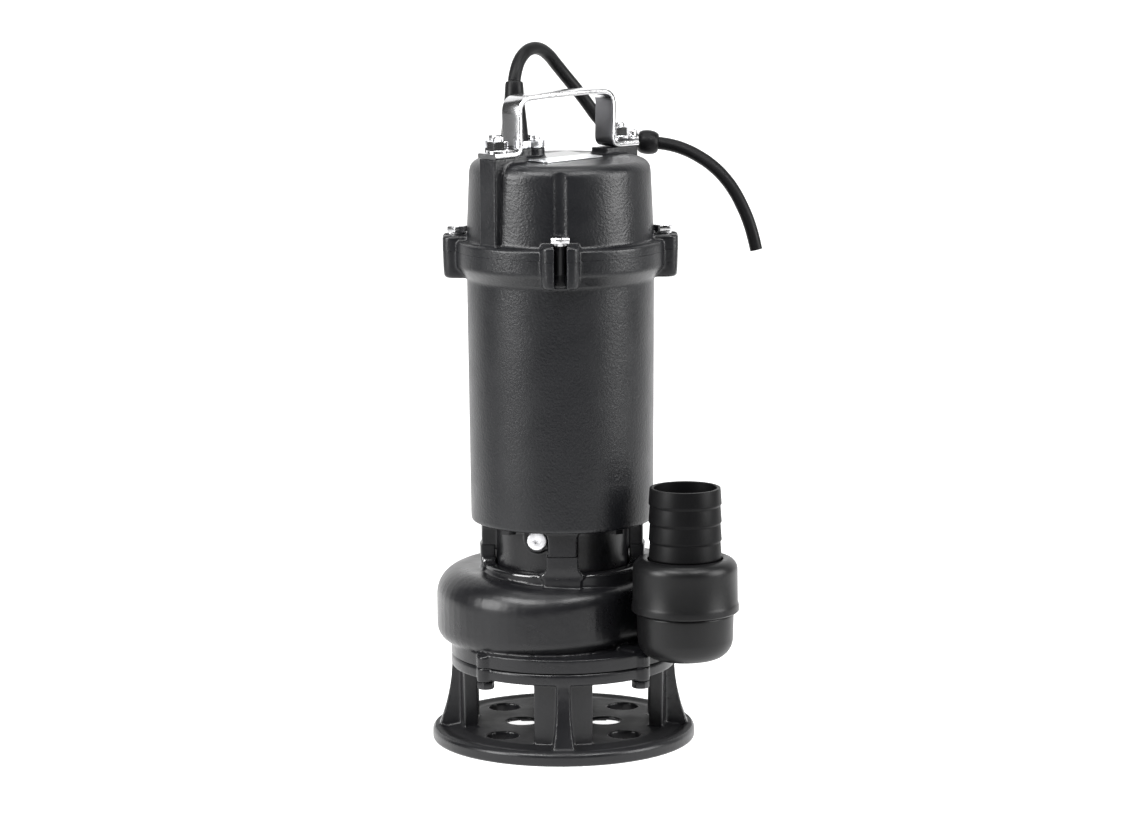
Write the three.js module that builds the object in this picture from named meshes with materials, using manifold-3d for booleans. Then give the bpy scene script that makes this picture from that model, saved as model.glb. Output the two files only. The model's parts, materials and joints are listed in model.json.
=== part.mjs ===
// Submersible sump pump: a single-phase electric pump in a cast iron body that
// stands on a strainer base, with a discharge elbow and hose tail at its side.
// Units are millimetres. +Z runs up the pump's axis, the origin is the centre of
// the base's underside, and the front of the pump faces -Y.
import * as THREE from "three";
import { mergeVertices } from "three/addons/utils/BufferGeometryUtils.js";
import Module from "manifold-3d";

const wasm = await Module();
wasm.setup();

// ---------- driving dimensions ----------

const gap = 0.3; // clearance kept between touching pieces
const fine = 24; // sides of a large round
const small = 16; // sides of a middling round
const coarse = 10; // sides of a small round
const least = 8; // sides of a screw's shank or hole

// Strainer base
const baseRadius = 95.2;
const baseFloor = 8;
const baseRim = 10.5;
const baseRingTop = 64;
const baseRingBottom = 55;
const baseRingRadius = 81;
const suctionRadius = 27;
const legInner = 64;
const legOuter = 74.5;
const legWidth = 42;
const gussetWidth = 11;
const strainerHoleRadius = 11.5;
const baseBoltCircle = 78;

// Volute casing, a scroll that opens clockwise seen from above
const voluteBottom = baseRingTop + gap;
const voluteLugTop = 72.6;
const scrollBottom = 71;
const scrollStart = 62;
const scrollGrowth = 52;
const scrollWall = 7;
const throatRadius = 46;
const collarRadius = 57;
const collarTop = 127;
const chamberRadius = 56;
const chamberTop = 111.5;
const bossTop = 143.5;

// Discharge, on a vertical axis beside the pump
const dischargeX = 87;
const dischargeY = -62;
const nozzleHeight = 101;
const nozzleFace = -12;
const nozzleHalf = 33;
const neckHeight = 89.5;
const elbowRadius = 34.5;
const elbowBottom = 71.5;
const elbowShoulder = 105;
const elbowTop = 120;
const elbowFlange = 8;
const hoseTailRadius = 26;
const hoseTailTop = 194.5;
const hoseTailBottom = 121;
const hoseBore = 22.5;
const nutRadius = 38.2;
const nutBottom = 105.6;
const nutTop = 144;
const barbPitch = 12.9;

// Oil chamber between volute and motor
const drumRadius = 48;
const drumInner = 43;
const chamberFlange = 161.5;
const chamberTopFace = 168;
const postRadius = 58.6;
const postWidth = 20;
const chamberScrewCircle = 54;
const studCircle = 54;
const plugX = -18;
const plugHeight = 154.4;

// Motor
const housingBottom = 161.5;
const housingWeb = chamberTopFace + gap;
const housingRadiusLow = 65.7;
const housingRadiusHigh = 67;
const housingBore = 60.3;
const housingBoreLow = 46.5;
const bandRadius = 75;
const bandBottom = 345;
const bandTop = 357;
const lugRadius = 84;
const lugWidth = 27;
const lugBottom = 337.5;
const lugTop = 368;
const coverBoltCircle = 73.5;
const boltScallop = 9;
const statorBottom = 205;
const statorTop = 310;
const statorBore = 33;
const rotorRadius = 32;
const bearingPlateTop = 356.7;
const gasketInner = 62.6;
const gasketOuter = 65.8;

// Cover
const coverFlangeTop = 364.4;
const coverRadiusLow = 67.2;
const coverRadiusHigh = 65;
const coverTop = 422;
const coverCorner = 9;
const coverWall = 5;
const padTop = 426.4;
const padOuter = 72;
const padWidth = 16;
const glandX = -32;
const glandPadTop = 423.8;
const glandBossTop = 430;
const glandPlateTop = 435;
const glandScrewReach = 14;

// Handle, a bent strap on the diagonal from front left to back right
const strapWidth = 18;
const strapThickness = 3.6;
const handleTop = 470;
const handleLegs = 46;
const handleStudReach = 61.5;

// Cable and its clip
const cableRadius = 4.6;
const clampThickness = 1.5;
const clampStart = new THREE.Vector3(43.8, 64.6, 430.9);
const clampEnd = new THREE.Vector3(55.8, 65.4, 427.3);
const clampScrewX = 52.2;
const clampScrewY = 54.4;

// Ball bearings, by their distances from the axis and along it
const lowerBearing = { bore: 10, outside: 23.2, middle: 180, width: 14, balls: 7, ballRadius: 3.97 };
const upperBearing = { bore: 8.5, outside: 20, middle: 341.5, width: 12, balls: 7, ballRadius: 3.37 };
const bearingPocket = lowerBearing.outside + gap;

// Rotor
const impellerRadius = 50;
const impellerBottom = 65;
const impellerTop = 108;

// ---------- shapes ----------

// A geometry as a solid that can be joined and cut.
function solidOf(shape) {
  if (!shape.isBufferGeometry) {
    return shape;
  }
  const bare = shape.clone();
  bare.deleteAttribute("normal");
  bare.deleteAttribute("uv");
  const merged = mergeVertices(bare, 1e-4);
  return new wasm.Manifold(
    new wasm.Mesh({
      numProp: 3,
      vertProperties: merged.attributes.position.array,
      triVerts: new Uint32Array(merged.index.array),
    }),
  );
}

function geometryOf(shape) {
  if (shape.isBufferGeometry) {
    return shape;
  }
  const mesh = shape.getMesh();
  return new THREE.BufferGeometry()
    .setAttribute("position", new THREE.BufferAttribute(mesh.vertProperties, 3))
    .setIndex(new THREE.BufferAttribute(mesh.triVerts, 1));
}

function joined(...shapes) {
  return shapes.map(solidOf).reduce((whole, next) => whole.add(next));
}

function cut(shape, ...tools) {
  return tools.map(solidOf).reduce((whole, tool) => whole.subtract(tool), solidOf(shape));
}

// A solid of revolution about Z from a profile of [radius, z] points, anticlockwise.
function turned(profile, sides = fine) {
  const points = profile.map(([r, z]) => new THREE.Vector2(r, z));
  return new THREE.LatheGeometry(points, sides).rotateX(Math.PI / 2);
}

function cone(lowRadius, highRadius, bottom, top, x = 0, y = 0, sides = coarse) {
  return new THREE.CylinderGeometry(highRadius, lowRadius, top - bottom, sides)
    .rotateX(Math.PI / 2)
    .translate(x, y, (bottom + top) / 2);
}

function rod(radius, bottom, top, x = 0, y = 0, sides = coarse) {
  return cone(radius, radius, bottom, top, x, y, sides);
}

// A rod along Y, from its front end to its back end.
function rodAlongY(radius, front, back, x, z, sides = coarse) {
  return new THREE.CylinderGeometry(radius, radius, back - front, sides)
    .translate(x, (front + back) / 2, 0)
    .translate(0, 0, z);
}

function ring(inner, outer, bottom, top, sides = fine) {
  return turned(
    [
      [inner, bottom],
      [outer, bottom],
      [outer, top],
      [inner, top],
      [inner, bottom],
    ],
    sides,
  );
}

function block(left, right, front, back, bottom, top) {
  return new THREE.BoxGeometry(right - left, back - front, top - bottom).translate(
    (left + right) / 2,
    (front + back) / 2,
    (bottom + top) / 2,
  );
}

function hexagon(acrossFlats, bottom, top, x = 0, y = 0) {
  return rod(acrossFlats / Math.sqrt(3), bottom, top, x, y, 6);
}

// Points of an arc about a centre, from one angle to another in degrees.
function arc(centreA, centreB, radius, from, to, steps) {
  return Array.from({ length: steps + 1 }, (_, i) => {
    const angle = THREE.MathUtils.degToRad(from + ((to - from) * i) / steps);
    return [centreA + radius * Math.cos(angle), centreB + radius * Math.sin(angle)];
  });
}

// A flat plate from its outline of [x, y] points.
function plate(outline, bottom, top) {
  const shape = new THREE.Shape(outline.map(([x, y]) => new THREE.Vector2(x, y)));
  return new THREE.ExtrudeGeometry(shape, {
    depth: top - bottom,
    bevelEnabled: false,
  }).translate(0, 0, bottom);
}

function turnTo(shape, degrees) {
  return geometryOf(shape).clone().rotateZ(THREE.MathUtils.degToRad(degrees));
}

// Copies of a shape at equal angles about Z.
function around(shape, count, first = 0) {
  return Array.from({ length: count }, (_, i) => turnTo(shape, first + (360 / count) * i));
}

function polar(radius, degrees) {
  const angle = THREE.MathUtils.degToRad(degrees);
  return [radius * Math.cos(angle), radius * Math.sin(angle)];
}

// A skin over a row of rings that have the same number of points. The row closes
// on itself, or its two ends are capped.
function loft(rings, closed) {
  const count = rings[0].length;
  const vertices = rings.flat().flatMap((p) => [p.x, p.y, p.z]);
  const faces = [];
  const spans = closed ? rings.length : rings.length - 1;
  for (let i = 0; i < spans; i += 1) {
    const here = i * count;
    const next = ((i + 1) % rings.length) * count;
    for (let j = 0; j < count; j += 1) {
      const k = (j + 1) % count;
      faces.push(here + j, here + k, next + j);
      faces.push(next + j, here + k, next + k);
    }
  }
  if (!closed) {
    const last = (rings.length - 1) * count;
    for (let j = 1; j < count - 1; j += 1) {
      faces.push(0, j + 1, j);
      faces.push(last, last + j, last + j + 1);
    }
  }
  return new THREE.BufferGeometry()
    .setAttribute("position", new THREE.Float32BufferAttribute(vertices, 3))
    .setIndex(faces);
}

// ---------- finishes ----------

const finishes = {
  castBlack: { color: 0x1d1e21, roughness: 0.45, metalness: 0.15 },
  hammered: { color: 0x232428, roughness: 0.5, metalness: 0.2 },
  stainless: { color: 0xd9dadb, roughness: 0.2, metalness: 1 },
  zinc: { color: 0xc2c4c6, roughness: 0.35, metalness: 1 },
  plastic: { color: 0x242324, roughness: 0.55, metalness: 0 },
  rubber: { color: 0x161617, roughness: 0.7, metalness: 0 },
  steel: { color: 0x8f9295, roughness: 0.3, metalness: 1 },
  laminations: { color: 0x5a5c60, roughness: 0.45, metalness: 0.9 },
  copper: { color: 0xa85a2c, roughness: 0.4, metalness: 0.8 },
  aluminium: { color: 0xc9cbcd, roughness: 0.35, metalness: 1 },
  ceramic: { color: 0xe6e2d8, roughness: 0.3, metalness: 0 },
  fibre: { color: 0x7b6a4b, roughness: 0.8, metalness: 0 },
};

const pump = new THREE.Group();
const rotor = new THREE.Group();
pump.add(rotor);

function add(name, shape, finish, group = pump) {
  const mesh = new THREE.Mesh(geometryOf(shape), new THREE.MeshStandardMaterial(finishes[finish]));
  mesh.name = name;
  group.add(mesh);
  return mesh;
}

// ---------- fasteners ----------

// A hex bolt whose head rests on z = seat, shank downwards.
function boltDown(acrossFlats, headHeight, shankRadius, length, seat, x, y) {
  return joined(
    hexagon(acrossFlats, seat, seat + headHeight, x, y),
    rod(shankRadius, seat - length, seat + 1, x, y, least),
  );
}

// A hex bolt put in from below: head under z = seat, shank upwards.
function boltUp(acrossFlats, headHeight, shankRadius, length, seat, x, y) {
  return joined(
    hexagon(acrossFlats, seat - headHeight, seat, x, y),
    rod(shankRadius, seat - 1, seat + length, x, y, least),
  );
}

// ---------- strainer base ----------

// One leg: a curved plate with a gusset that flares out to the foot ring.
function strainerLeg() {
  const halfAngle = THREE.MathUtils.radToDeg(Math.asin(legWidth / 2 / legOuter));
  const wall = plate(
    [
      ...arc(0, 0, legOuter, -halfAngle, halfAngle, 6),
      ...arc(0, 0, legInner, halfAngle, -halfAngle, 6),
    ],
    baseFloor - 1,
    baseRingBottom + 1,
  );
  const flare = [
    [legInner + 4, baseFloor - 1],
    [90.5, baseFloor - 1],
    [89, 14],
    [85.5, 24],
    [82.6, 38],
    [80.6, baseRingBottom + 1],
    [legInner + 4, baseRingBottom + 1],
  ];
  const gusset = plate(flare, -gussetWidth / 2, gussetWidth / 2).rotateX(Math.PI / 2);
  return joined(wall, gusset);
}

function strainerBase() {
  const disc = turned([
    [0, 0],
    [93.8, 0],
    [baseRadius, 1.6],
    [95, 6],
    [93, 9.4],
    [90.5, baseRim],
    [87.5, 10],
    [85.5, baseFloor],
    [0, baseFloor],
  ]);
  const topRing = ring(suctionRadius, baseRingRadius, baseRingBottom, baseRingTop);
  const lug = rod(6.6, 53.6, baseRingTop, baseBoltCircle, 0);
  const outerHoles = around(rod(strainerHoleRadius, -1, 12, 61.6, 0), 4, 45);
  const innerHoles = around(rod(strainerHoleRadius, -1, 12, 30, 0), 4);
  const boltHoles = around(rod(4.4, 50, 70, baseBoltCircle, 0, least), 4, 45);
  return cut(
    joined(disc, topRing, ...around(strainerLeg(), 4), ...around(lug, 4, 45)),
    ...outerHoles,
    ...innerHoles,
    ...boltHoles,
  );
}

// ---------- volute ----------

// Outer radius of the scroll at an angle clockwise from its tongue.
function scrollRadius(fromTongue) {
  return fromTongue <= 315
    ? scrollStart + scrollGrowth * Math.sin(THREE.MathUtils.degToRad(fromTongue / 4))
    : scrollStart;
}

// Upright section of the scroll at a given outer radius, as [radius, z] points.
function scrollSection(radius, { inner, root, bottom, lowCorner, lowTop, highTop, highCorner }) {
  const high = Math.min(highCorner, radius - root);
  const shoulder = Math.min(highTop, lowTop + (radius - scrollStart) / 4) - high;
  return [
    [inner, bottom],
    ...arc(radius - lowCorner, bottom + lowCorner, lowCorner, -90, 0, 2),
    ...arc(radius - high, shoulder, high, 0, 90, 3),
    [inner, shoulder + high],
  ];
}

// The scroll as a closed ring of sections; the jump back to the tongue is one step.
function scroll(inset, section, step) {
  const angles = Array.from({ length: 315 / step + 1 }, (_, i) => i * step);
  const rings = [...angles, 316, 330, 345].map((fromTongue) => {
    const across = THREE.MathUtils.degToRad(-45 - fromTongue);
    return scrollSection(scrollRadius(fromTongue) - inset, section).map(
      ([r, z]) => new THREE.Vector3(r * Math.cos(across), r * Math.sin(across), z),
    );
  });
  return loft(rings, true);
}

const scrollOutside = {
  inner: throatRadius - 4,
  root: collarRadius - 1,
  bottom: scrollBottom,
  lowCorner: 12,
  lowTop: 118.8,
  highTop: 125,
  highCorner: 20,
};
const scrollInside = {
  inner: throatRadius - 6,
  root: throatRadius,
  bottom: 78,
  lowCorner: 8,
  lowTop: 111,
  highTop: 111,
  highCorner: 10,
};

// A section of the nozzle across Y: a rounded rectangle that turns into a round.
function nozzleSection(y, centreX, centreZ, halfWidth, halfHeight, power) {
  return Array.from({ length: small }, (_, i) => {
    const angle = (i / small) * 2 * Math.PI;
    const bend = (value) => Math.sign(value) * Math.abs(value) ** (2 / power);
    return new THREE.Vector3(
      centreX + halfWidth * bend(Math.cos(angle)),
      y,
      centreZ + halfHeight * bend(Math.sin(angle)),
    );
  });
}

function voluteCasing() {
  const shell = scroll(0, scrollOutside, 15);
  const flange = ring(50, baseRingRadius, voluteBottom, scrollBottom + 3);
  const lug = rod(6.6, voluteBottom, voluteLugTop, baseBoltCircle, 0);
  const lugWeb = block(60, baseBoltCircle, -6.6, 6.6, voluteBottom, voluteLugTop);
  const collar = turned([
    [throatRadius, 100],
    [collarRadius, 100],
    [collarRadius, collarTop - 3],
    [collarRadius - 1, collarTop - 0.8],
    [collarRadius - 3, collarTop],
    [throatRadius, collarTop],
    [throatRadius, 100],
  ]);
  const boss = block(drumRadius + gap, postRadius + 1, -11, 11, 110, bossTop);
  const duct = loft(
    [
      nozzleSection(8, 84.5, 98, 28.5, 26.5, 4.5),
      nozzleSection(-3, 85.5, 99.5, 30, 28, 3.6),
      nozzleSection(nozzleFace, dischargeX, nozzleHeight, nozzleHalf, 29.5, 2.8),
    ],
    false,
  );
  const outlet = loft(
    [
      nozzleSection(14, 82, 91, 16, 9, 2),
      nozzleSection(nozzleFace - 1, dischargeX, 94, 23, 18, 2.4),
    ],
    false,
  );
  const flow = scroll(scrollWall, scrollInside, 22.5);
  const outer = joined(shell, flange, collar, duct, ...around(lug, 4, 45));
  return cut(
    joined(outer, ...around(lugWeb, 4, 45), ...around(boss, 4)),
    rod(chamberRadius, 60, 84, 0, 0, fine),
    rod(throatRadius, 78, 140, 0, 0, fine),
    flow,
    outlet,
    ...around(rod(4.2, 60, 71.5, baseBoltCircle, 0, least), 4, 45),
    ...around(rod(4.3, 119, bossTop + 1, studCircle, 0, least), 4),
    ...elbowBoltPlaces.map(([x, z]) => rodAlongY(3.3, -30, 2, x, z, least)),
    ...elbowBoltPlaces.map(([x, z]) => rodAlongY(7, -30, nozzleFace - elbowFlange, x, z)),
  );
}

// ---------- discharge ----------

const elbowBoltPlaces = [
  [dischargeX - 27.5, nozzleHeight + 18],
  [dischargeX + 27.5, nozzleHeight - 18],
];

function dischargeElbow() {
  const front = nozzleFace - gap;
  const cup = turned([
    [0, elbowBottom],
    ...arc(elbowRadius - 15.5, elbowBottom + 15, 15, -90, -8, 4),
    [elbowRadius, elbowShoulder],
    [33, elbowShoulder],
    [33, elbowTop],
    [0, elbowTop],
  ]).translate(dischargeX, dischargeY, 0);
  const flange = loft(
    [
      nozzleSection(front, dischargeX, nozzleHeight, nozzleHalf, 29.2, 2.8),
      nozzleSection(front - elbowFlange, dischargeX, nozzleHeight, nozzleHalf, 29.2, 2.8),
    ],
    false,
  );
  const neck = loft(
    [
      nozzleSection(front - 2, dischargeX, neckHeight + 2, 23.5, 17, 2.2),
      nozzleSection(front - elbowFlange - 3, dischargeX, neckHeight, 23, 15, 2.2),
      nozzleSection(dischargeY + 8, dischargeX, neckHeight, 23, 15, 2.2),
    ],
    false,
  );
  const passage = loft(
    [
      nozzleSection(front + 1, dischargeX, 94, 23, 18, 2.4),
      nozzleSection(front - elbowFlange - 2, dischargeX, neckHeight, 19, 11, 2.2),
      nozzleSection(dischargeY, dischargeX, neckHeight, 19, 11, 2.2),
    ],
    false,
  );
  return cut(
    joined(cup, flange, neck),
    rod(28, 77, 130, dischargeX, dischargeY, small),
    passage,
    rod(scrollStart + 1.2, 60, 140, 0, 0, fine),
    rod(baseRingRadius + 1, 60, scrollBottom + 3 + gap, 0, 0, fine),
    ...elbowBoltPlaces.map(([x, z]) => rodAlongY(3.6, -45, -10, x, z, least)),
  );
}

function elbowBolt([x, z]) {
  const seat = nozzleFace - elbowFlange - 2 * gap;
  return joined(
    rodAlongY(10 / Math.sqrt(3), seat - 4, seat, x, z, 6),
    rodAlongY(3, seat - 1, seat + 18, x, z, least),
  );
}

function unionNut() {
  return turned(
    [
      [33.4, nutBottom],
      [nutRadius, nutBottom],
      [nutRadius, nutBottom + 4],
      [37.4, nutBottom + 7],
      [37.2, nutTop - 9],
      [36, nutTop - 5],
      [33, nutTop - 1.5],
      [29.5, nutTop],
      [27, nutTop],
      [27, 132],
      [33.4, 132],
      [33.4, nutBottom],
    ],
    fine,
  ).translate(dischargeX, dischargeY, 0);
}

// The hose tail: a tube with saw-tooth barbs over a collar that the nut holds.
function hoseTail() {
  const barbs = [0, 1, 2, 3].flatMap((i) => {
    const top = hoseTailTop - barbPitch * (3 - i);
    return [
      [hoseTailRadius, top - barbPitch + 1.6],
      [hoseTailRadius - 0.9, top],
    ];
  });
  return turned(
    [
      [hoseBore, hoseTailBottom],
      [32.5, hoseTailBottom],
      [32.5, 131],
      [26.4, 131],
      [25.6, 143.5],
      ...barbs,
      [hoseBore, hoseTailTop],
      [hoseBore, hoseTailBottom],
    ],
    fine,
  ).translate(dischargeX, dischargeY, 0);
}

// ---------- oil chamber ----------

function oilChamber() {
  const drum = turned([
    [0, chamberTop - gap],
    [throatRadius - gap, chamberTop - gap],
    [throatRadius - gap, collarTop + 1],
    [drumRadius, collarTop + 1],
    [drumRadius, chamberFlange],
    [housingBore - gap, chamberFlange],
    [housingBore - gap, chamberTopFace],
    [30, chamberTopFace],
    [30, 188],
    [0, 188],
  ]);
  const post = block(
    drumRadius - 2,
    postRadius,
    -postWidth / 2,
    postWidth / 2,
    bossTop + gap,
    chamberFlange + 1,
  );
  return cut(
    joined(drum, rodAlongY(9.4, -48.6, -38, plugX, plugHeight), ...around(post, 4)),
    ring(16, drumInner, 117, 156),
    rod(17, 116, 157, 0, 0, small),
    rod(14.3, 108, 118, 0, 0, small),
    rod(12.5, 150, 180, 0, 0, small),
    rod(bearingPocket, lowerBearing.middle - lowerBearing.width / 2, 190, 0, 0, fine),
    rodAlongY(5.6, -60, -36, plugX, plugHeight, coarse),
    ...around(rod(4.3, 130, 158, studCircle, 0, least), 4),
    ...around(rod(3.4, 160, 170, chamberScrewCircle, 0, least), 4, 45),
  );
}

function oilPlug() {
  const head = rodAlongY(6.8, -52, -48.6 - gap, plugX, plugHeight, small);
  const thread = rodAlongY(5, -50, -42, plugX, plugHeight, coarse);
  const socket = rodAlongY(2.9, -53, -50.4, plugX, plugHeight, 6);
  return cut(joined(head, thread), socket);
}

// ---------- motor ----------

function flangeLug(bottom, top) {
  const half = lugWidth / 2;
  const outline = [
    [60, -half],
    ...arc(lugRadius - 6, -half + 6, 6, -90, 0, 3),
    ...arc(lugRadius - 6, half - 6, 6, 0, 90, 3),
    [60, half],
  ];
  return plate(outline, bottom, top);
}

// The open slot in a lug that takes the bolt from the side.
function lugSlot(bottom, top) {
  return joined(
    block(coverBoltCircle, lugRadius + 2, -4.3, 4.3, bottom, top),
    rod(4.3, bottom, top, coverBoltCircle, 0, coarse),
  );
}

function motorHousing() {
  const outer = turned([
    [0, housingBottom],
    [housingRadiusLow - 3, housingBottom],
    [housingRadiusLow - 0.8, housingBottom + 1.5],
    [housingRadiusLow, housingBottom + 5],
    [housingRadiusHigh, bandBottom - 7],
    [bandRadius - 1, bandBottom - 1],
    [bandRadius, bandBottom + 1],
    [bandRadius, bandTop],
    [0, bandTop],
  ]);
  return cut(
    joined(outer, ...around(flangeLug(lugBottom, bandTop), 4)),
    rod(housingBore, housingBottom - 1, housingWeb, 0, 0, fine),
    rod(housingBoreLow, 160, housingWeb + 8, 0, 0, fine),
    rod(housingBore, housingWeb + 6, 360, 0, 0, fine),
    ring(gasketInner - gap, gasketOuter + gap, bandTop - 2 - gap, bandTop + 1),
    ...around(lugSlot(bandBottom - 1, bandTop + 2), 4),
    ...around(rod(3.4, 165, 178, chamberScrewCircle, 0, least), 4, 45),
  );
}

// One end of the stator winding: a bundle of wire bent over the slots.
function windingEnd(bottom, top) {
  return turned([
    [37, bottom],
    [54, bottom],
    [56.5, (bottom + top) / 2],
    [54, top],
    [37, top],
    [35.5, (bottom + top) / 2],
    [37, bottom],
  ], fine);
}

function upperBearingPlate() {
  return cut(
    turned([
      [0, 335],
      [26, 335],
      [26, 347],
      [housingBore - gap, 347],
      [housingBore - gap, bearingPlateTop],
      [0, bearingPlateTop],
    ]),
    rod(20.3, 333, 350, 0, 0, fine),
    ...around(rod(8, 340, 360, 42, 0, coarse), 3, 30),
  );
}

// ---------- cover ----------

// A square duct down one side of the cover that carries a handle stud.
function studDuct() {
  return block(40, padOuter, -padWidth / 2, padWidth / 2, bandTop + gap, padTop);
}

function topCover() {
  const outer = turned([
    [0, bandTop + gap],
    [bandRadius, bandTop + gap],
    [bandRadius, coverFlangeTop - 1],
    [bandRadius - 1, coverFlangeTop],
    [coverRadiusLow, coverFlangeTop],
    ...arc(coverRadiusHigh - coverCorner, coverTop - coverCorner, coverCorner, 3, 90, 6),
    [0, coverTop],
  ]);
  const inside = turned([
    [0, bandTop - 1],
    [coverRadiusLow - coverWall, bandTop - 1],
    [coverRadiusHigh - coverWall, 408],
    [coverRadiusHigh - coverWall - 8, coverTop - coverWall],
    [0, coverTop - coverWall],
  ]);
  const body = cut(
    joined(
      outer,
      ...around(flangeLug(bandTop + gap, lugTop), 4),
      ...around(studDuct(), 2, 45),
      rod(22, coverTop - 3, glandPadTop, glandX, 0, fine),
      glandOval(coverTop - 3, glandBossTop),
    ),
    inside,
  );
  return cut(
    body,
    ...around(lugSlot(bandTop - 2, lugTop + 2), 4),
    ...around(rod(boltScallop, lugTop, coverTop, coverBoltCircle, 0, coarse), 4),
    ...around(rod(4.3, 402, 430, handleStudReach, 0, least), 2, 45),
    rod(6, 400, 440, glandX, 0),
    ...[-1, 1].map((side) => rod(2.3, 423, 432, glandX + side * glandScrewReach, 0, least)),
  );
}

// The outline shared by the gland's boss and clamp plate: a round with two ears.
function glandOval(bottom, top) {
  return joined(
    rod(13.5, bottom, top, glandX, 0, small),
    ...[-1, 1].map((side) => rod(7.4, bottom, top, glandX + side * glandScrewReach, 0)),
  );
}

function glandPlate() {
  return cut(
    glandOval(glandBossTop + gap, glandPlateTop),
    rod(10.2, 425, 440, glandX, 0, small),
    ...[-1, 1].map((side) => rod(2.5, 423, 440, glandX + side * glandScrewReach, 0, least)),
  );
}

// ---------- handle ----------

// A path of [s, z] points with its corners rounded by arcs.
function roundedPath(corners, radius, steps) {
  const points = [corners[0]];
  for (let i = 1; i < corners.length - 1; i += 1) {
    const here = new THREE.Vector2(...corners[i]);
    const before = new THREE.Vector2(...corners[i - 1]).sub(here).normalize();
    const after = new THREE.Vector2(...corners[i + 1]).sub(here).normalize();
    const half = Math.acos(before.dot(after)) / 2;
    const reach = radius[i - 1] / Math.tan(half);
    const curve = new THREE.QuadraticBezierCurve(
      here.clone().addScaledVector(before, reach),
      here,
      here.clone().addScaledVector(after, reach),
    );
    points.push(...curve.getPoints(steps).map((p) => [p.x, p.y]));
  }
  points.push(corners[corners.length - 1]);
  return points;
}

// A strip of constant thickness along a path, as a closed outline.
function ribbon(path, thickness) {
  const side = (sign) =>
    path.map(([s, z], i) => {
      const [s0, z0] = path[Math.max(i - 1, 0)];
      const [s1, z1] = path[Math.min(i + 1, path.length - 1)];
      const length = Math.hypot(s1 - s0, z1 - z0);
      const offset = (sign * thickness) / 2 / length;
      return [s - (z1 - z0) * offset, z + (s1 - s0) * offset];
    });
  return [...side(-1), ...side(1).reverse()];
}

// A strip bent in an upright plane, centred on that plane.
function bentStrip(path, thickness, width) {
  return plate(ribbon(path, thickness), -width / 2, width / 2).rotateX(Math.PI / 2);
}

function handle() {
  const foot = padTop + gap + strapThickness / 2;
  const bar = handleTop - strapThickness / 2;
  const right = [
    [padOuter, foot],
    [handleLegs, foot],
    [handleLegs + 1.5, bar - 1],
    [20, bar],
  ];
  const left = right.map(([s, z]) => [-s, z]).reverse();
  const path = roundedPath([...right, ...left], [6, 11, 30, 30, 11, 6], 3);
  const strap = bentStrip(path, strapThickness, strapWidth);
  return cut(strap, ...[-1, 1].map((side) => rod(4.4, 420, 436, side * handleStudReach, 0, least)));
}

// A stud in the cover with its nut and washer run down onto the handle's foot.
function handleStud(reach, seat) {
  return joined(
    rod(3.9, 406, seat + 11, reach, 0, least),
    rod(8, seat, seat + 1.6, reach, 0),
    hexagon(13, seat + 1.4, seat + 8, reach, 0),
  );
}

// ---------- cable ----------

// The cable's route from the boot, over its loop, behind the handle and through
// the clamp and sleeve to its free end.
const cableRoute = [
  [-32, 0.5, 476.8],
  [-31.5, 1.7, 480.3],
  [-30.5, 4, 484.8],
  [-28.6, 8, 490.2],
  [-25.4, 13.6, 494.9],
  [-20.7, 21.6, 498],
  [-14.7, 30.8, 497.7],
  [-8.3, 40.3, 493],
  [-2, 48, 484.8],
  [4.8, 53.6, 475.8],
  [12, 57.8, 466.6],
  [19.8, 61, 456],
  [27.4, 63, 445.4],
  [35.4, 64, 436.6],
  [43.8, 64.6, 431],
  [52.4, 65.2, 428],
  [61.5, 65.6, 426.8],
  [71.4, 65.4, 426],
  [81.4, 64.2, 424.4],
  [91.4, 61.8, 421.3],
  [101.4, 58.6, 416.4],
  [111.2, 55, 409.7],
  [119.6, 52, 401.4],
  [126.4, 49.8, 392],
  [132, 48.2, 381.4],
  [136.6, 47, 370.4],
  [140, 46.2, 359],
  [142.2, 45.6, 349.6],
].map((p) => new THREE.Vector3(...p));

function powerCable() {
  const section = new THREE.Shape(
    arc(0, 0, cableRadius, 0, 315, 7).map(([x, y]) => new THREE.Vector2(x, y)),
  );
  return new THREE.ExtrudeGeometry(section, {
    steps: 24,
    bevelEnabled: false,
    extrudePath: new THREE.CatmullRomCurve3(cableRoute),
  });
}

// The tapered rubber boot that carries the cable out of the gland and leans back with it.
function cableBoot() {
  const stations = [
    [coverTop - 2, 0, 5.4],
    [430.5, 0, 5.4],
    [430.5, 0, 9.9],
    [438, 0, 9.7],
    [447, -0.5, 8.9],
    [457, -0.8, 7.8],
    [467, -0.9, 6.9],
    [476.2, 0.3, 6.1],
  ];
  const rings = stations.map(([z, y, radius], i) => {
    const lean = i > 6 ? 0.3 : 0;
    return arc(0, 0, radius, 0, 330, 11).map(
      ([a, b]) => new THREE.Vector3(glandX + a, y + b * Math.cos(lean), z - b * Math.sin(lean)),
    );
  });
  return loft(rings, false);
}

// A turned piece laid along the line from one point to another.
function alongLine(profile, from, to, sides) {
  const direction = to.clone().sub(from).normalize();
  const turn = new THREE.Quaternion().setFromUnitVectors(new THREE.Vector3(0, 0, 1), direction);
  return turned(profile, sides).applyQuaternion(turn).translate(from.x, from.y, from.z);
}

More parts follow.
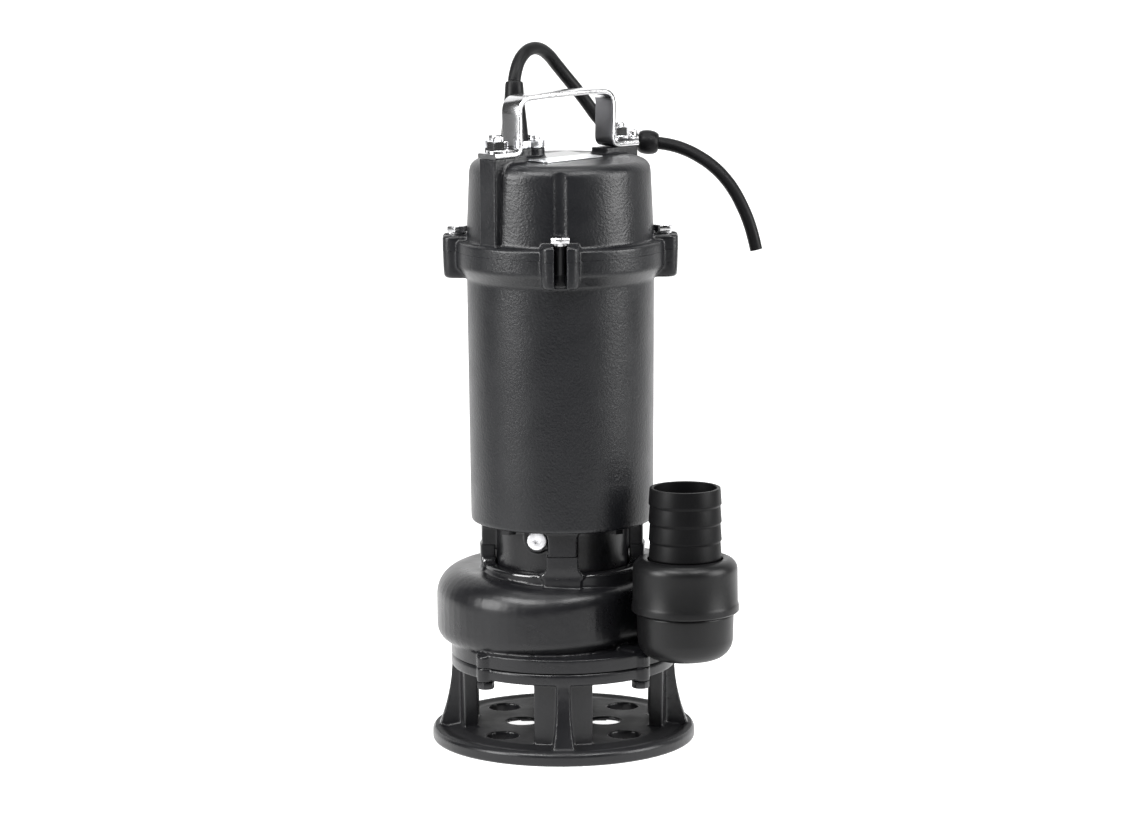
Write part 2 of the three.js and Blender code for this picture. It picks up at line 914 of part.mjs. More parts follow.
// A stainless clip: a leaf under the handle nut and a band round the cable.
function cableClamp() {
  const length = clampStart.distanceTo(clampEnd);
  const band = [
    [5.2, 0],
    [6.6, 0],
    [6.6, length],
    [5.2, length],
    [5.2, 0],
  ];
  const leafBottom = padTop + strapThickness + 2 * gap;
  const leaf = block(37, 57, 37, 59.2, leafBottom, leafBottom + clampThickness);
  return cut(
    joined(leaf, alongLine(band, clampStart, clampEnd, small)),
    rod(4.4, 420, 440, ...polar(handleStudReach, 45), least),
    rod(2.8, 420, 440, clampScrewX, clampScrewY, least),
  );
}

function clampScrew() {
  const seat = padTop + strapThickness + 3 * gap + clampThickness;
  return cut(
    joined(
      rod(4.1, seat, seat + 5, clampScrewX, clampScrewY),
      rod(2.4, 423, seat + 1, clampScrewX, clampScrewY, least),
      rod(3.1, 426.8, 430, clampScrewX, clampScrewY, 6),
    ),
    rod(2.2, seat + 2.4, seat + 6, clampScrewX, clampScrewY, 6),
  );
}

// The rubber sleeve that the cable leaves the clamp through.
function cableSleeve() {
  const start = new THREE.Vector3(58.4, 65.4, 427.15);
  const end = new THREE.Vector3(70.6, 65.5, 426.05);
  const length = start.distanceTo(end);
  const barrel = [
    [5.2, 0],
    [8, 0],
    [9, 2.5],
    [9, length - 2.5],
    [7.6, length],
    [5.2, length],
    [5.2, 0],
  ];
  return alongLine(barrel, start, end, small);
}

// A plain plate on the flat of the cover, under the handle.
function namePlate() {
  return block(-34, 25, -20, 0, coverTop + gap, coverTop + 1.2).rotateZ(Math.PI / 4);
}

// ---------- pieces inside the motor ----------

function runCapacitor() {
  return joined(rod(17, 362, 411, 26, 6, small), rod(5, 410, 413.5, 26, 6, least));
}

function terminalBlock() {
  return joined(
    block(-34, -12, -48, -36, 372, 384),
    block(-31, -25, -46, -38, 383, 388),
    block(-21, -15, -46, -38, 383, 388),
  );
}

function shaft() {
  return turned(
    [
      [0, 66],
      [4.6, 66],
      [5, 67],
      [5, 76],
      [6.7, 76],
      [6.7, 109],
      [8, 109],
      [8, 164],
      [9.7, 164],
      [9.7, 188],
      [13, 188],
      [13, 332],
      [8.2, 332],
      [8.2, 350],
      [0, 350],
    ],
    small,
  );
}

// Semi-open impeller: a hub and a back plate with five swept vanes below it.
function impeller() {
  const body = turned([
    [0, 76 + gap],
    [11, 76 + gap],
    [13, 90],
    [20, impellerTop - 4],
    [impellerRadius, impellerTop - 4],
    [impellerRadius, impellerTop],
    [12, impellerTop],
    [12, impellerTop + 0.6],
    [0, impellerTop + 0.6],
  ]);
  const sweep = Array.from({ length: 6 }, (_, i) => polar(11 + (i / 5) * 38.4, -14 * i));
  const vane = plate(ribbon(sweep, 4), impellerBottom, impellerTop - 3);
  return cut(joined(body, ...around(vane, 5)), rod(7, 60, 120, 0, 0, small));
}

function impellerNut() {
  return cut(hexagon(17, 68, 76, 0, 0), rod(5.3, 60, 80, 0, 0, coarse));
}

// The rotating half of the shaft seal: a face ring, a bellows and its spring cup.
function sealRotary() {
  const folds = [0, 1, 2].flatMap((i) => [
    [11, 124 + 4 * i],
    [13, 126 + 4 * i],
  ]);
  return turned(
    [
      [8 + gap, 117],
      [13, 117],
      [13, 122],
      ...folds,
      [11, 140],
      [8 + gap, 140],
      [8 + gap, 117],
    ],
    small,
  );
}

// The balls of a bearing in their cage.
function ballSet({ bore, outside, middle, balls, ballRadius }) {
  const pitch = (bore + outside) / 2;
  const ball = new THREE.SphereGeometry(ballRadius, 6, 3).translate(pitch, 0, middle);
  const cage = ring(pitch - 1.1, pitch + 1.1, middle - 1.6, middle + 1.6, coarse);
  return joined(cage, ...around(ball, balls));
}

function addBearing(name, size) {
  const { bore, outside, middle, width, ballRadius } = size;
  const pitch = (bore + outside) / 2;
  const low = middle - width / 2;
  const high = middle + width / 2;
  const inner = ring(bore, pitch - ballRadius - gap, low, high, small);
  add(`${name}_inner`, inner, "steel", rotor);
  add(`${name}_outer`, ring(pitch + ballRadius + gap, outside, low, high, fine), "steel");
  add(`${name}_balls`, ballSet(size), "steel");
}

// ---------- assembly: castings and fasteners ----------

add("base_strainer", strainerBase(), "castBlack");
add("volute_casing", voluteCasing(), "castBlack");
add("oil_chamber", oilChamber(), "castBlack");
add("motor_housing", motorHousing(), "hammered");
add("upper_bearing_plate", upperBearingPlate(), "castBlack");
add("top_cover", topCover(), "hammered");
add("oil_plug", oilPlug(), "zinc");

for (let i = 0; i < 4; i += 1) {
  const [boltX, boltY] = polar(baseBoltCircle, 45 + 90 * i);
  add(`base_bolt_${i + 1}`, boltUp(11, 5, 3.9, 17.4, 53.3, boltX, boltY), "castBlack");
  const [studX, studY] = polar(studCircle, 90 * i);
  add(`chamber_stud_${i + 1}`, rod(3.9, 120, 157, studX, studY, least), "steel");
  const [screwX, screwY] = polar(chamberScrewCircle, 45 + 90 * i);
  add(`housing_screw_${i + 1}`, boltUp(10, 4, 3, 15, chamberFlange - gap, screwX, screwY), "steel");
  const [coverX, coverY] = polar(coverBoltCircle, 90 * i);
  add(`cover_bolt_${i + 1}`, coverBolt(coverX, coverY), "stainless");
}

// A cover bolt with its spring washer under the head.
function coverBolt(x, y) {
  return joined(
    boltDown(13, 4.4, 3.9, 22, lugTop + 1.8, x, y),
    rod(6.2, lugTop + gap, lugTop + 2, x, y, coarse),
  );
}

const handleTurn = THREE.MathUtils.degToRad(45);
const footTop = padTop + gap + strapThickness;
add("handle", handle(), "stainless").rotation.z = handleTurn;
const backStud = handleStud(handleStudReach, footTop + clampThickness + 2 * gap);
add("handle_stud_back", backStud, "stainless").rotation.z = handleTurn;
const frontStud = handleStud(-handleStudReach, footTop + gap);
add("handle_stud_front", frontStud, "stainless").rotation.z = handleTurn;

// ---------- assembly: cable entry ----------

add("gland_plate", glandPlate(), "zinc");
[-1, 1].forEach((side, i) => {
  const x = glandX + side * glandScrewReach;
  add(`gland_screw_${i + 1}`, boltDown(8, 3.6, 2, 11, glandPlateTop + gap, x, 0), "stainless");
});
add("cable_boot", cableBoot(), "rubber");
add("cable_clamp", cableClamp(), "stainless");
add("clamp_screw", clampScrew(), "stainless");
add("cable_sleeve", cableSleeve(), "rubber");
add("power_cable", powerCable(), "rubber");
add("name_plate", namePlate(), "aluminium");

// ---------- assembly: discharge ----------

add("discharge_elbow", dischargeElbow(), "plastic");
add("union_nut", unionNut(), "plastic");
const seal = ring(28.5, 32.3, elbowTop + gap, hoseTailBottom - gap, fine);
add("union_seal", seal.translate(dischargeX, dischargeY, 0), "rubber");
add("hose_tail", hoseTail(), "plastic");
elbowBoltPlaces.forEach((place, i) => {
  add(`elbow_bolt_${i + 1}`, elbowBolt(place), "zinc");
});

// ---------- assembly: motor and rotor ----------

add("stator_core", ring(statorBore, housingBore - gap, statorBottom, statorTop), "laminations");
add("winding_lower", windingEnd(190, statorBottom - gap), "copper");
add("winding_upper", windingEnd(statorTop + gap, 331), "copper");
add("cover_gasket", ring(gasketInner, gasketOuter, bandTop - 2, bandTop), "rubber");
add("run_capacitor", runCapacitor(), "aluminium");
add("terminal_block", terminalBlock(), "fibre");
add("seal_seat", ring(9.2, 14, 112, 116.7, fine), "ceramic");

add("shaft", shaft(), "steel", rotor);
add("rotor_core", ring(13 + gap, rotorRadius, 200, 315), "laminations", rotor);
add("impeller", impeller(), "castBlack", rotor);
add("impeller_nut", impellerNut(), "steel", rotor);
add("seal_rotary", sealRotary(), "steel", rotor);
addBearing("lower_bearing", lowerBearing);
addBearing("upper_bearing", upperBearing);

export default pump;
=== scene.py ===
# The looks of the submersible sump pump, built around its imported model.
# Shapes are written in millimetres and made in metres, in the model's own frame.
import json
import math

import bpy
from mathutils import Matrix, Vector


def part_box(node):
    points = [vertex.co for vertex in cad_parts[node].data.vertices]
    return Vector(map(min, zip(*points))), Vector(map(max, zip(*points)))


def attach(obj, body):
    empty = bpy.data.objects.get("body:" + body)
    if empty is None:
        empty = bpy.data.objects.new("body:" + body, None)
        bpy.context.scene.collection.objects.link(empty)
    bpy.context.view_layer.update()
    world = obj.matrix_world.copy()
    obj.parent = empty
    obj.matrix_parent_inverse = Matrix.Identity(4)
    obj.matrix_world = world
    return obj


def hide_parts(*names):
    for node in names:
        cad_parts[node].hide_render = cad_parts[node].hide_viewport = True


MM = 0.001

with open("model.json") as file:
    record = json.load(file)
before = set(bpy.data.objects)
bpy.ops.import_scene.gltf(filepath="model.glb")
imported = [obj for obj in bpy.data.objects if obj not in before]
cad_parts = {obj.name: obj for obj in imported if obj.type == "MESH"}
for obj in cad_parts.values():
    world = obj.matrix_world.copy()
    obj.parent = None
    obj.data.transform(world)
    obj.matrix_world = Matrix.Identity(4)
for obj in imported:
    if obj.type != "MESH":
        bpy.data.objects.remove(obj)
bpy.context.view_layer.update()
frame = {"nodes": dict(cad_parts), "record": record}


def millimetres(node):
    """The lowest and highest corners of a CAD node, in millimetres."""
    low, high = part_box(node)
    return low / MM, high / MM


# ---------- camera ----------

CAMERA_PLACE = Vector((4.67, -2840, 707)) * MM
CAMERA_PITCH = math.radians(9.35)
CAMERA_ROLL = 0.0066
SENSOR_WIDTH = 36
LENS = 126.76

forward = Vector((0, math.cos(CAMERA_PITCH), -math.sin(CAMERA_PITCH)))
level_up = Vector((0, math.sin(CAMERA_PITCH), math.cos(CAMERA_PITCH)))
camera_right = (Vector((1, 0, 0)) - CAMERA_ROLL * level_up).normalized()
camera_up = (level_up + CAMERA_ROLL * Vector((1, 0, 0))).normalized()
camera_data = bpy.data.cameras.new("camera")
camera_data.sensor_width = SENSOR_WIDTH
camera_data.lens = LENS
camera = bpy.data.objects.new("camera", camera_data)
turn = Matrix((camera_right, camera_up, -forward)).transposed().to_4x4()
camera.matrix_world = Matrix.Translation(CAMERA_PLACE) @ turn
bpy.context.scene.collection.objects.link(camera)
bpy.context.scene.camera = camera

# ---------- shapes ----------


def mesh_object(vertices, faces, name="shape"):
    mesh = bpy.data.meshes.new(name)
    mesh.from_pydata([Vector(v) * MM for v in vertices], [], faces)
    mesh.update()
    made = bpy.data.objects.new(name, mesh)
    bpy.context.scene.collection.objects.link(made)
    return made


def lathe(profile, sides=96, at=(0, 0)):
    """A solid of revolution from [radius, z] points, anticlockwise.
    A profile that starts on the axis ends on it; any other one closes on itself."""
    vertices, rings = [], []
    for radius, z in profile:
        start = len(vertices)
        if radius == 0:
            vertices.append((at[0], at[1], z))
            rings.append([start] * sides)
            continue
        for j in range(sides):
            angle = 2 * math.pi * j / sides
            vertices.append((at[0] + radius * math.cos(angle), at[1] + radius * math.sin(angle), z))
        rings.append([start + j for j in range(sides)])
    if profile[0][0] > 0:
        rings.append(rings[0])
    faces = []
    for here, there in zip(rings, rings[1:]):
        for j in range(sides):
            k = (j + 1) % sides
            corners = dict.fromkeys([here[j], here[k], there[k], there[j]])
            if len(corners) > 2:
                faces.append(list(corners))
    return mesh_object(vertices, faces)


def loft(rings, closed=False):
    """A skin over rings with the same number of points, closed on itself or capped."""
    count = len(rings[0])
    vertices = [p for ring in rings for p in ring]
    faces = []
    for i in range(len(rings) if closed else len(rings) - 1):
        here, there = i * count, (i + 1) % len(rings) * count
        for j in range(count):
            k = (j + 1) % count
            faces.append((here + j, here + k, there + k, there + j))
    if not closed:
        last = (len(rings) - 1) * count
        faces.append([count - 1 - j for j in range(count)])
        faces.append([last + j for j in range(count)])
    return mesh_object(vertices, faces)


def arc(a, b, radius, start, end, steps):
    angles = [math.radians(start + (end - start) * i / steps) for i in range(steps + 1)]
    return [(a + radius * math.cos(t), b + radius * math.sin(t)) for t in angles]


def plate(outline, bottom, top):
    return loft([[(x, y, z) for x, y in outline] for z in (bottom, top)])


def block(left, right, front, back, bottom, top):
    outline = [(left, front), (right, front), (right, back), (left, back)]
    return plate(outline, bottom, top)


def rod(radius, bottom, top, x=0, y=0, sides=48):
    return lathe([(0, bottom), (radius, bottom), (radius, top), (0, top)], sides, (x, y))


def tube(inner, outer, bottom, top, sides=96):
    return lathe([(inner, bottom), (outer, bottom), (outer, top), (inner, top)], sides)


def moved(shape, matrix):
    shape.data.transform(matrix)
    return shape


def turned(shape, degrees):
    return moved(shape, Matrix.Rotation(math.radians(degrees), 4, "Z"))


def along_y(radius, front, back, x, z, sides=48):
    """A rod along Y."""
    shape = rod(radius, -back, -front, 0, 0, sides)
    moved(shape, Matrix.Rotation(math.radians(90), 4, "X"))
    return moved(shape, Matrix.Translation(Vector((x, 0, z)) * MM))


def around(make, count, first=0):
    return [turned(make(), first + 360 / count * i) for i in range(count)]


def polar(radius, degrees):
    return radius * math.cos(math.radians(degrees)), radius * math.sin(math.radians(degrees))


def flatten(shape):
    """The shape with its modifiers applied."""
    graph = bpy.context.evaluated_depsgraph_get()
    mesh = bpy.data.meshes.new_from_object(shape.evaluated_get(graph))
    old = shape.data
    shape.modifiers.clear()
    shape.data = mesh
    bpy.data.meshes.remove(old)
    return shape


def combined(operation, base, others):
    for other in others:
        step = base.modifiers.new(operation, "BOOLEAN")
        step.operation = operation
        step.solver = "MANIFOLD"
        step.object = other
        other.hide_render = True
    flatten(base)
    for other in others:
        mesh = other.data
        bpy.data.objects.remove(other)
        bpy.data.meshes.remove(mesh)
    return base


def joined(base, *others):
    return combined("UNION", base, others)


def cut(base, *tools):
    return combined("DIFFERENCE", base, tools)


def shared(base, *others):
    return combined("INTERSECT", base, others)


# ---------- surfaces ----------


def smooth_shaded(shape, angle=None):
    for polygon in shape.data.polygons:
        polygon.use_smooth = True
    if angle is not None:
        shape.data.set_sharp_from_angle(angle=math.radians(angle))
    return shape


def cast(shape, voxel, rounding, keep, faced=()):
    """A casting's skin: every edge and corner runs into a small fillet, except
    where one of the faced tools has cut a flat afterwards."""
    remesh = shape.modifiers.new("skin", "REMESH")
    remesh.mode = "VOXEL"
    remesh.voxel_size = voxel * MM
    soften = shape.modifiers.new("fillet", "SMOOTH")
    soften.factor = 0.5
    soften.iterations = rounding
    if faced:
        cut(shape, *faced)
    thin = shape.modifiers.new("thin", "DECIMATE")
    thin.ratio = keep
    return smooth_shaded(flatten(shape), 50 if faced else None)


def machined(shape, edge=0.25, angle=30):
    """A turned or stamped piece: crisp faces with a small broken edge."""
    step = shape.modifiers.new("edge", "BEVEL")
    step.width = edge * MM
    step.segments = 2
    step.limit_method = "ANGLE"
    step.angle_limit = math.radians(angle)
    step.use_clamp_overlap = True
    return smooth_shaded(flatten(shape), angle + 8)


# ---------- materials ----------


def material(name, colour, roughness, metallic=0.0, spread=0.15, bumps=(), **settings):
    """A procedural material. The colour and roughness vary gently over the surface.
    Each bump is (kind, scale, height in mm)."""
    made = bpy.data.materials.new(name)
    made.use_nodes = True
    nodes, links = made.node_tree.nodes, made.node_tree.links
    shader = nodes["Principled BSDF"]
    shader.inputs["Metallic"].default_value = metallic
    for socket, value in settings.items():
        shader.inputs[socket.replace("_", " ")].default_value = value
    place = nodes.new("ShaderNodeTexCoord").outputs["Object"]

    cloud = nodes.new("ShaderNodeTexNoise")
    cloud.inputs["Scale"].default_value = 35
    cloud.inputs["Detail"].default_value = 6
    links.new(place, cloud.inputs["Vector"])

    tint = nodes.new("ShaderNodeMixRGB")
    tint.inputs[1].default_value = (*[c * (1 - spread) for c in colour], 1)
    tint.inputs[2].default_value = (*[c * (1 + spread) for c in colour], 1)
    links.new(cloud.outputs["Fac"], tint.inputs[0])
    links.new(tint.outputs[0], shader.inputs["Base Color"])

    sheen = nodes.new("ShaderNodeMapRange")
    sheen.inputs["From Min"].default_value = 0.3
    sheen.inputs["From Max"].default_value = 0.7
    sheen.inputs["To Min"].default_value = roughness[0]
    sheen.inputs["To Max"].default_value = roughness[1]
    links.new(cloud.outputs["Fac"], sheen.inputs["Value"])
    links.new(sheen.outputs["Result"], shader.inputs["Roughness"])

    normal = None
    for kind, scale, height in bumps:
        texture = nodes.new("ShaderNodeTexNoise")
        texture.inputs["Detail"].default_value = 3
        texture.inputs["Scale"].default_value = scale
        vector = place
        if kind == "brushed":
            squeeze = nodes.new("ShaderNodeMapping")
            squeeze.inputs["Scale"].default_value = (1, 1, 0.04)
            links.new(place, squeeze.inputs["Vector"])
            vector = squeeze.outputs["Vector"]
        links.new(vector, texture.inputs["Vector"])
        bump = nodes.new("ShaderNodeBump")
        bump.inputs["Strength"].default_value = 1
        bump.inputs["Distance"].default_value = height * MM
        links.new(texture.outputs["Fac"], bump.inputs["Height"])
        if normal is not None:
            links.new(normal, bump.inputs["Normal"])
        normal = bump.outputs["Normal"]
    if normal is not None:
        links.new(normal, shader.inputs["Normal"])
    return made


CAST_SKIN = (("noise", 70, 0.25), ("noise", 420, 0.07))
HAMMERED_SKIN = (("noise", 120, 0.12), ("noise", 560, 0.24))
MOULDED_SKIN = (("noise", 900, 0.02),)
RUBBER_SKIN = (("noise", 1100, 0.03),)

finishes = {
    "cast_black": material(
        "cast_black", (0.006, 0.006, 0.007), (0.25, 0.36), bumps=CAST_SKIN, Specular_IOR_Level=0.36
    ),
    "hammered_black": material(
        "hammered_black", (0.005, 0.0053, 0.0065), (0.29, 0.4), bumps=HAMMERED_SKIN, Specular_IOR_Level=0.4
    ),
    "rough_black": material(
        "rough_black", (0.007, 0.007, 0.008), (0.5, 0.65), bumps=CAST_SKIN, Specular_IOR_Level=0.2
    ),
    "gloss_black": material("gloss_black", (0.01, 0.01, 0.011), (0.12, 0.18), Specular_IOR_Level=0.9),
    "flat_black": material("flat_black", (0.009, 0.009, 0.01), (0.08, 0.14)),
    "stainless": material("stainless", (0.78, 0.78, 0.79), (0.14, 0.24), 1.0, 0.04, (("brushed", 900, 0.01),)),
    # A dark copy of the stainless: painted shade and painted dark reflection for the inner face of the
    # handle's back leg.
    "steel_in_painted_shade": material(
        "steel_in_painted_shade", (0.22, 0.22, 0.23), (0.3, 0.5), 1.0, 0.3, (("noise", 500, 0.05),)
    ),
    "plated": material("plated", (0.9, 0.9, 0.92), (0.3, 0.45), 0.35, 0.03),
    "zinc": material("zinc", (0.74, 0.75, 0.77), (0.25, 0.38), 1.0, 0.06, (("noise", 500, 0.03),)),
    "plastic": material(
        "plastic", (0.003, 0.003, 0.0033), (0.32, 0.42), bumps=MOULDED_SKIN, Specular_IOR_Level=0.29
    ),
    "dull_plastic": material(
        "dull_plastic", (0.003, 0.003, 0.0033), (0.38, 0.48), bumps=MOULDED_SKIN, Specular_IOR_Level=0.12
    ),
    "rubber": material(
        "rubber", (0.004, 0.004, 0.0045), (0.38, 0.5), bumps=RUBBER_SKIN, Specular_IOR_Level=0.16
    ),
    "steel": material("steel", (0.45, 0.46, 0.47), (0.25, 0.4), 1.0, 0.08, (("noise", 600, 0.02),)),
    "laminations": material("laminations", (0.2, 0.2, 0.21), (0.35, 0.5), 0.9, 0.2, (("noise", 700, 0.03),)),
    "copper": material("copper", (0.5, 0.2, 0.07), (0.3, 0.45), 0.7, 0.2, (("noise", 500, 0.2),)),
    "aluminium": material("aluminium", (0.85, 0.86, 0.87), (0.28, 0.4), 1.0, 0.04, (("noise", 800, 0.015),)),
    "ceramic": material("ceramic", (0.8, 0.78, 0.72), (0.2, 0.3), spread=0.05),
    "fibre": material("fibre", (0.2, 0.13, 0.07), (0.6, 0.8), bumps=(("noise", 500, 0.1),)),
}

# Screws, studs and bolts that sit in recesses and gaps take the casting's black instead of their own finish:
# painted shade for those recesses and gaps.
fasteners_in_painted_shade = [f"{kind}_{i}" for kind in ("housing_screw", "chamber_stud", "elbow_bolt") for i in range(1, 5)]
slots = {row["node"]: row["material_slot"] for row in frame["record"]["subparts"]}
for node, shown in frame["nodes"].items():
    shown.data.materials.clear()
    shown.data.materials.append(finishes["cast_black" if node in fasteners_in_painted_shade else slots[node]])


def finish(shape, name, node):
    """Names a piece, gives it its finish and puts it in its CAD node's place."""
    shape.name = name
    shape.data.name = name
    shape.data.materials.clear()
    shape.data.materials.append(finishes[slots[node]])
    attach(shape, "root")
    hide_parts(node)
    return shape


def painted(shape, look, where):
    """A second finish on the faces whose centre and normal pass a test."""
    shape.data.materials.append(finishes[look])
    for polygon in shape.data.polygons:
        if where(polygon.center / MM, polygon.normal):
            polygon.material_index = 1


# ---------- cable ----------

CABLE_RADIUS = 4.6
CABLE_ROUTE = [
    (-32, 0.5, 476.8),
    (-31.5, 1.7, 480.3),
    (-30.5, 4, 484.8),
    (-28.6, 8, 490.2),
    (-25.4, 13.6, 494.9),
    (-20.7, 21.6, 498),
    (-14.7, 30.8, 497.7),
    (-8.3, 40.3, 493),
    (-2, 48, 484.8),
    (4.8, 53.6, 475.8),
    (12, 57.8, 466.6),
    (19.8, 61, 456),
    (27.4, 63, 445.4),
    (35.4, 64, 436.6),
    (43.8, 64.6, 431),
    (52.4, 65.2, 428),
    (61.5, 65.6, 426.8),
    (71.4, 65.4, 426),
    (81.4, 64.2, 424.4),
    (91.4, 61.8, 421.3),
    (101.4, 58.6, 416.4),
    (111.2, 55, 409.7),
    (119.6, 52, 401.4),
    (126.4, 49.8, 392),
    (132, 48.2, 381.4),
    (136.6, 47, 370.4),
    (140, 46.2, 359),
    (142.2, 45.6, 349.6),
]

cable_curve = bpy.data.curves.new("cable", "CURVE")
cable_curve.dimensions = "3D"
cable_curve.resolution_u = 6
cable_curve.bevel_depth = CABLE_RADIUS * MM
cable_curve.bevel_resolution = 7
cable_curve.use_fill_caps = True
spline = cable_curve.splines.new("BEZIER")
spline.bezier_points.add(len(CABLE_ROUTE) - 1)
for point, place in zip(spline.bezier_points, CABLE_ROUTE):
    point.co = Vector(place) * MM
    point.handle_left_type = "AUTO"
    point.handle_right_type = "AUTO"
cable = bpy.data.objects.new("cable", cable_curve)
bpy.context.scene.collection.objects.link(cable)
finish(cable, "cable", "power_cable")

# ---------- strainer base ----------

base_high = millimetres("base_strainer")[1]
BASE_FLOOR = 8
DISC_TOP = 10.8
HOLE_RADIUS = 11.5
INNER_HOLES = 30
OUTER_HOLES = 61.6
HOLLOW_TOP = 8
RING_RADIUS = 81
RING_TOP = base_high.z
RING_BOTTOM = RING_TOP - 9
SUCTION_RADIUS = 27
BOLT_HOLE = 4.3
LEG_INNER = 64
LEG_OUTER = 74.5
LEG_HALF_ANGLE = 16.4
BASE_BOLT_CIRCLE = 78


def strainer_leg():
    wall = plate(
        arc(0, 0, LEG_OUTER, -LEG_HALF_ANGLE, LEG_HALF_ANGLE, 10)
        + arc(0, 0, LEG_INNER, LEG_HALF_ANGLE, -LEG_HALF_ANGLE, 10),
        BASE_FLOOR - 1,
        RING_BOTTOM + 1,
    )
    levels = [(7, 90.5, 8.4), (10, 90, 7.7), (15, 88.4, 6.8), (19.5, 86.9, 6.2), (24, 85.5, 5.7)]
    levels += [(31, 83.8, 5.2), (38, 82.4, 4.9), (46, 81.3, 4.6), (RING_BOTTOM + 1, 80.6, 4.6)]
    gusset = loft(
        [[(68, -half, z), (reach, -half, z), (reach, half, z), (68, half, z)] for z, reach, half in levels]
    )
    return joined(wall, gusset)


def strainer_base():
    """The foot disc, the ring and the legs. The disc is hollow under its inner
    holes, so that the floor shows through them."""
    disc = lathe(
        [(0, 0), (93.6, 0), (94.8, 0.6), (95.2, 1.8), (95.1, 5)]
        + arc(91, 6, 4.3, 10, 100, 8)
        + [(88.4, 10), (86.8, 9.2), (84, 9), (79, 10), (75, DISC_TOP), (0, DISC_TOP)],
        144,
    )
    top = lathe(
        [(SUCTION_RADIUS, RING_BOTTOM), (RING_RADIUS - 0.8, RING_BOTTOM), (RING_RADIUS, RING_BOTTOM + 1)]
        + arc(RING_RADIUS - 2.4, RING_TOP - 2.4, 2.4, 0, 90, 5)
        + [(SUCTION_RADIUS, RING_TOP)],
        144,
    )
    lugs = around(lambda: rod(6.6, 53.6, RING_TOP, BASE_BOLT_CIRCLE), 4, 45)
    whole = joined(disc, top, *around(strainer_leg, 4), *lugs)
    return cut(
        whole,
        *around(lambda: rod(HOLE_RADIUS, -1, 14, OUTER_HOLES), 4, 45),
        *around(lambda: rod(HOLE_RADIUS, -1, 14, INNER_HOLES), 4),
        *around(lambda: rod(BOLT_HOLE, 50, 70, BASE_BOLT_CIRCLE), 4, 45),
        tube(15, 48, -1, HOLLOW_TOP),
        *[block(*sorted((side * 19, side * 41.5)), 0, 42, -1, HOLLOW_TOP) for side in (-1, 1)],
    )


base = finish(cast(strainer_base(), voxel=0.9, rounding=4, keep=0.35), "strainer_base", "base_strainer")
painted(base, "rough_black", lambda centre, normal: normal.z > 0.8 and centre.z < DISC_TOP + 1.2)

# ---------- volute ----------

volute_low, volute_high = millimetres("volute_casing")
VOLUTE_BOTTOM = volute_low.z
BOSS_TOP = volute_high.z
SCROLL_BOTTOM = 71
SCROLL_START = 62
SCROLL_GROWTH = 52
THROAT_RADIUS = 46
COLLAR_RADIUS = 57.4
COLLAR_TOP = 127
LIP_TOP = 130.4
STUD_CIRCLE = 54
DRUM_RADIUS = 48
DISCHARGE_X = 87
DISCHARGE_Y = -62
NOZZLE_HEIGHT = 101
NOZZLE_FACE = -12


def scroll_radius(from_tongue):
    if from_tongue > 315:
        return SCROLL_START
    return SCROLL_START + SCROLL_GROWTH * math.sin(math.radians(from_tongue / 4))


def scroll_outside(radius):
    high = min(20, radius - COLLAR_RADIUS + 1)
    shoulder = min(125, 118.8 + (radius - SCROLL_START) / 4) - high
    return (
        [(THROAT_RADIUS - 4, SCROLL_BOTTOM)]
        + arc(radius - 12, SCROLL_BOTTOM + 12, 12, -90, 0, 7)
        + arc(radius - high, shoulder, high, 0, 90, 9)
        + [(THROAT_RADIUS - 4, shoulder + high)]
    )


def scroll_inside(radius):
    high = min(10, radius - THROAT_RADIUS)
    shoulder = 111 - high
    return (
        [(THROAT_RADIUS - 6, 78)]
        + arc(radius - 8, 86, 8, -90, 0, 3)
        + arc(radius - high, shoulder, high, 0, 90, 3)
        + [(THROAT_RADIUS - 6, 111)]
    )


def scroll(section, inset, step):
    rings = []
    for from_tongue in [*range(0, 316, step), 317, 330, 345]:
        across = math.radians(-45 - from_tongue)
        outline = section(scroll_radius(from_tongue) - inset)
        rings.append([(r * math.cos(across), r * math.sin(across), z) for r, z in outline])
    return loft(rings, closed=True)


def nozzle_section(y, x, z, half_width, half_height, power):
    """A rounded rectangle across Y; power 2 is an ellipse and a high power is square."""
    points = []
    for i in range(48):
        c, s = math.cos(2 * math.pi * i / 48), math.sin(2 * math.pi * i / 48)
        across = math.copysign(abs(c) ** (2 / power), c)
        up = math.copysign(abs(s) ** (2 / power), s)
        points.append((x + half_width * across, y, z + half_height * up))
    return points


def sector(inner, levels):
    """A block with a round outer face, from (z, half width, reach) levels."""
    rings = []
    for z, half, reach in levels:
        spread = math.degrees(math.asin(half / reach))
        outline = [(inner, -half)] + arc(0, 0, reach, -spread, spread, 8) + [(inner, half)]
        rings.append([(x, y, z) for x, y in outline])
    return loft(rings)


def boss_foot():
    """A stud boss whose foot flares out along the collar's rim."""
    levels = [(112, 12, 59), (LIP_TOP - 4, 13.5, 59), (LIP_TOP - 1.2, 16.6, 58.6)]
    levels += [(LIP_TOP + 0.8, 14.2, 58.9), (LIP_TOP + 2.6, 12.4, 59.3), (LIP_TOP + 5, 11.4, 59.6)]
    levels += [(BOSS_TOP + 3, 10.8, 59.8)]
    return sector(48.3, levels)


def base_lug():
    return joined(
        rod(6.6, VOLUTE_BOTTOM - 3, 72.6, BASE_BOLT_CIRCLE),
        block(60, BASE_BOLT_CIRCLE, -6.4, 6.4, VOLUTE_BOTTOM - 3, 76),
    )


def elbow_bolt_places():
    return [(DISCHARGE_X - 27.5, NOZZLE_HEIGHT + 18), (DISCHARGE_X + 27.5, NOZZLE_HEIGHT - 18)]


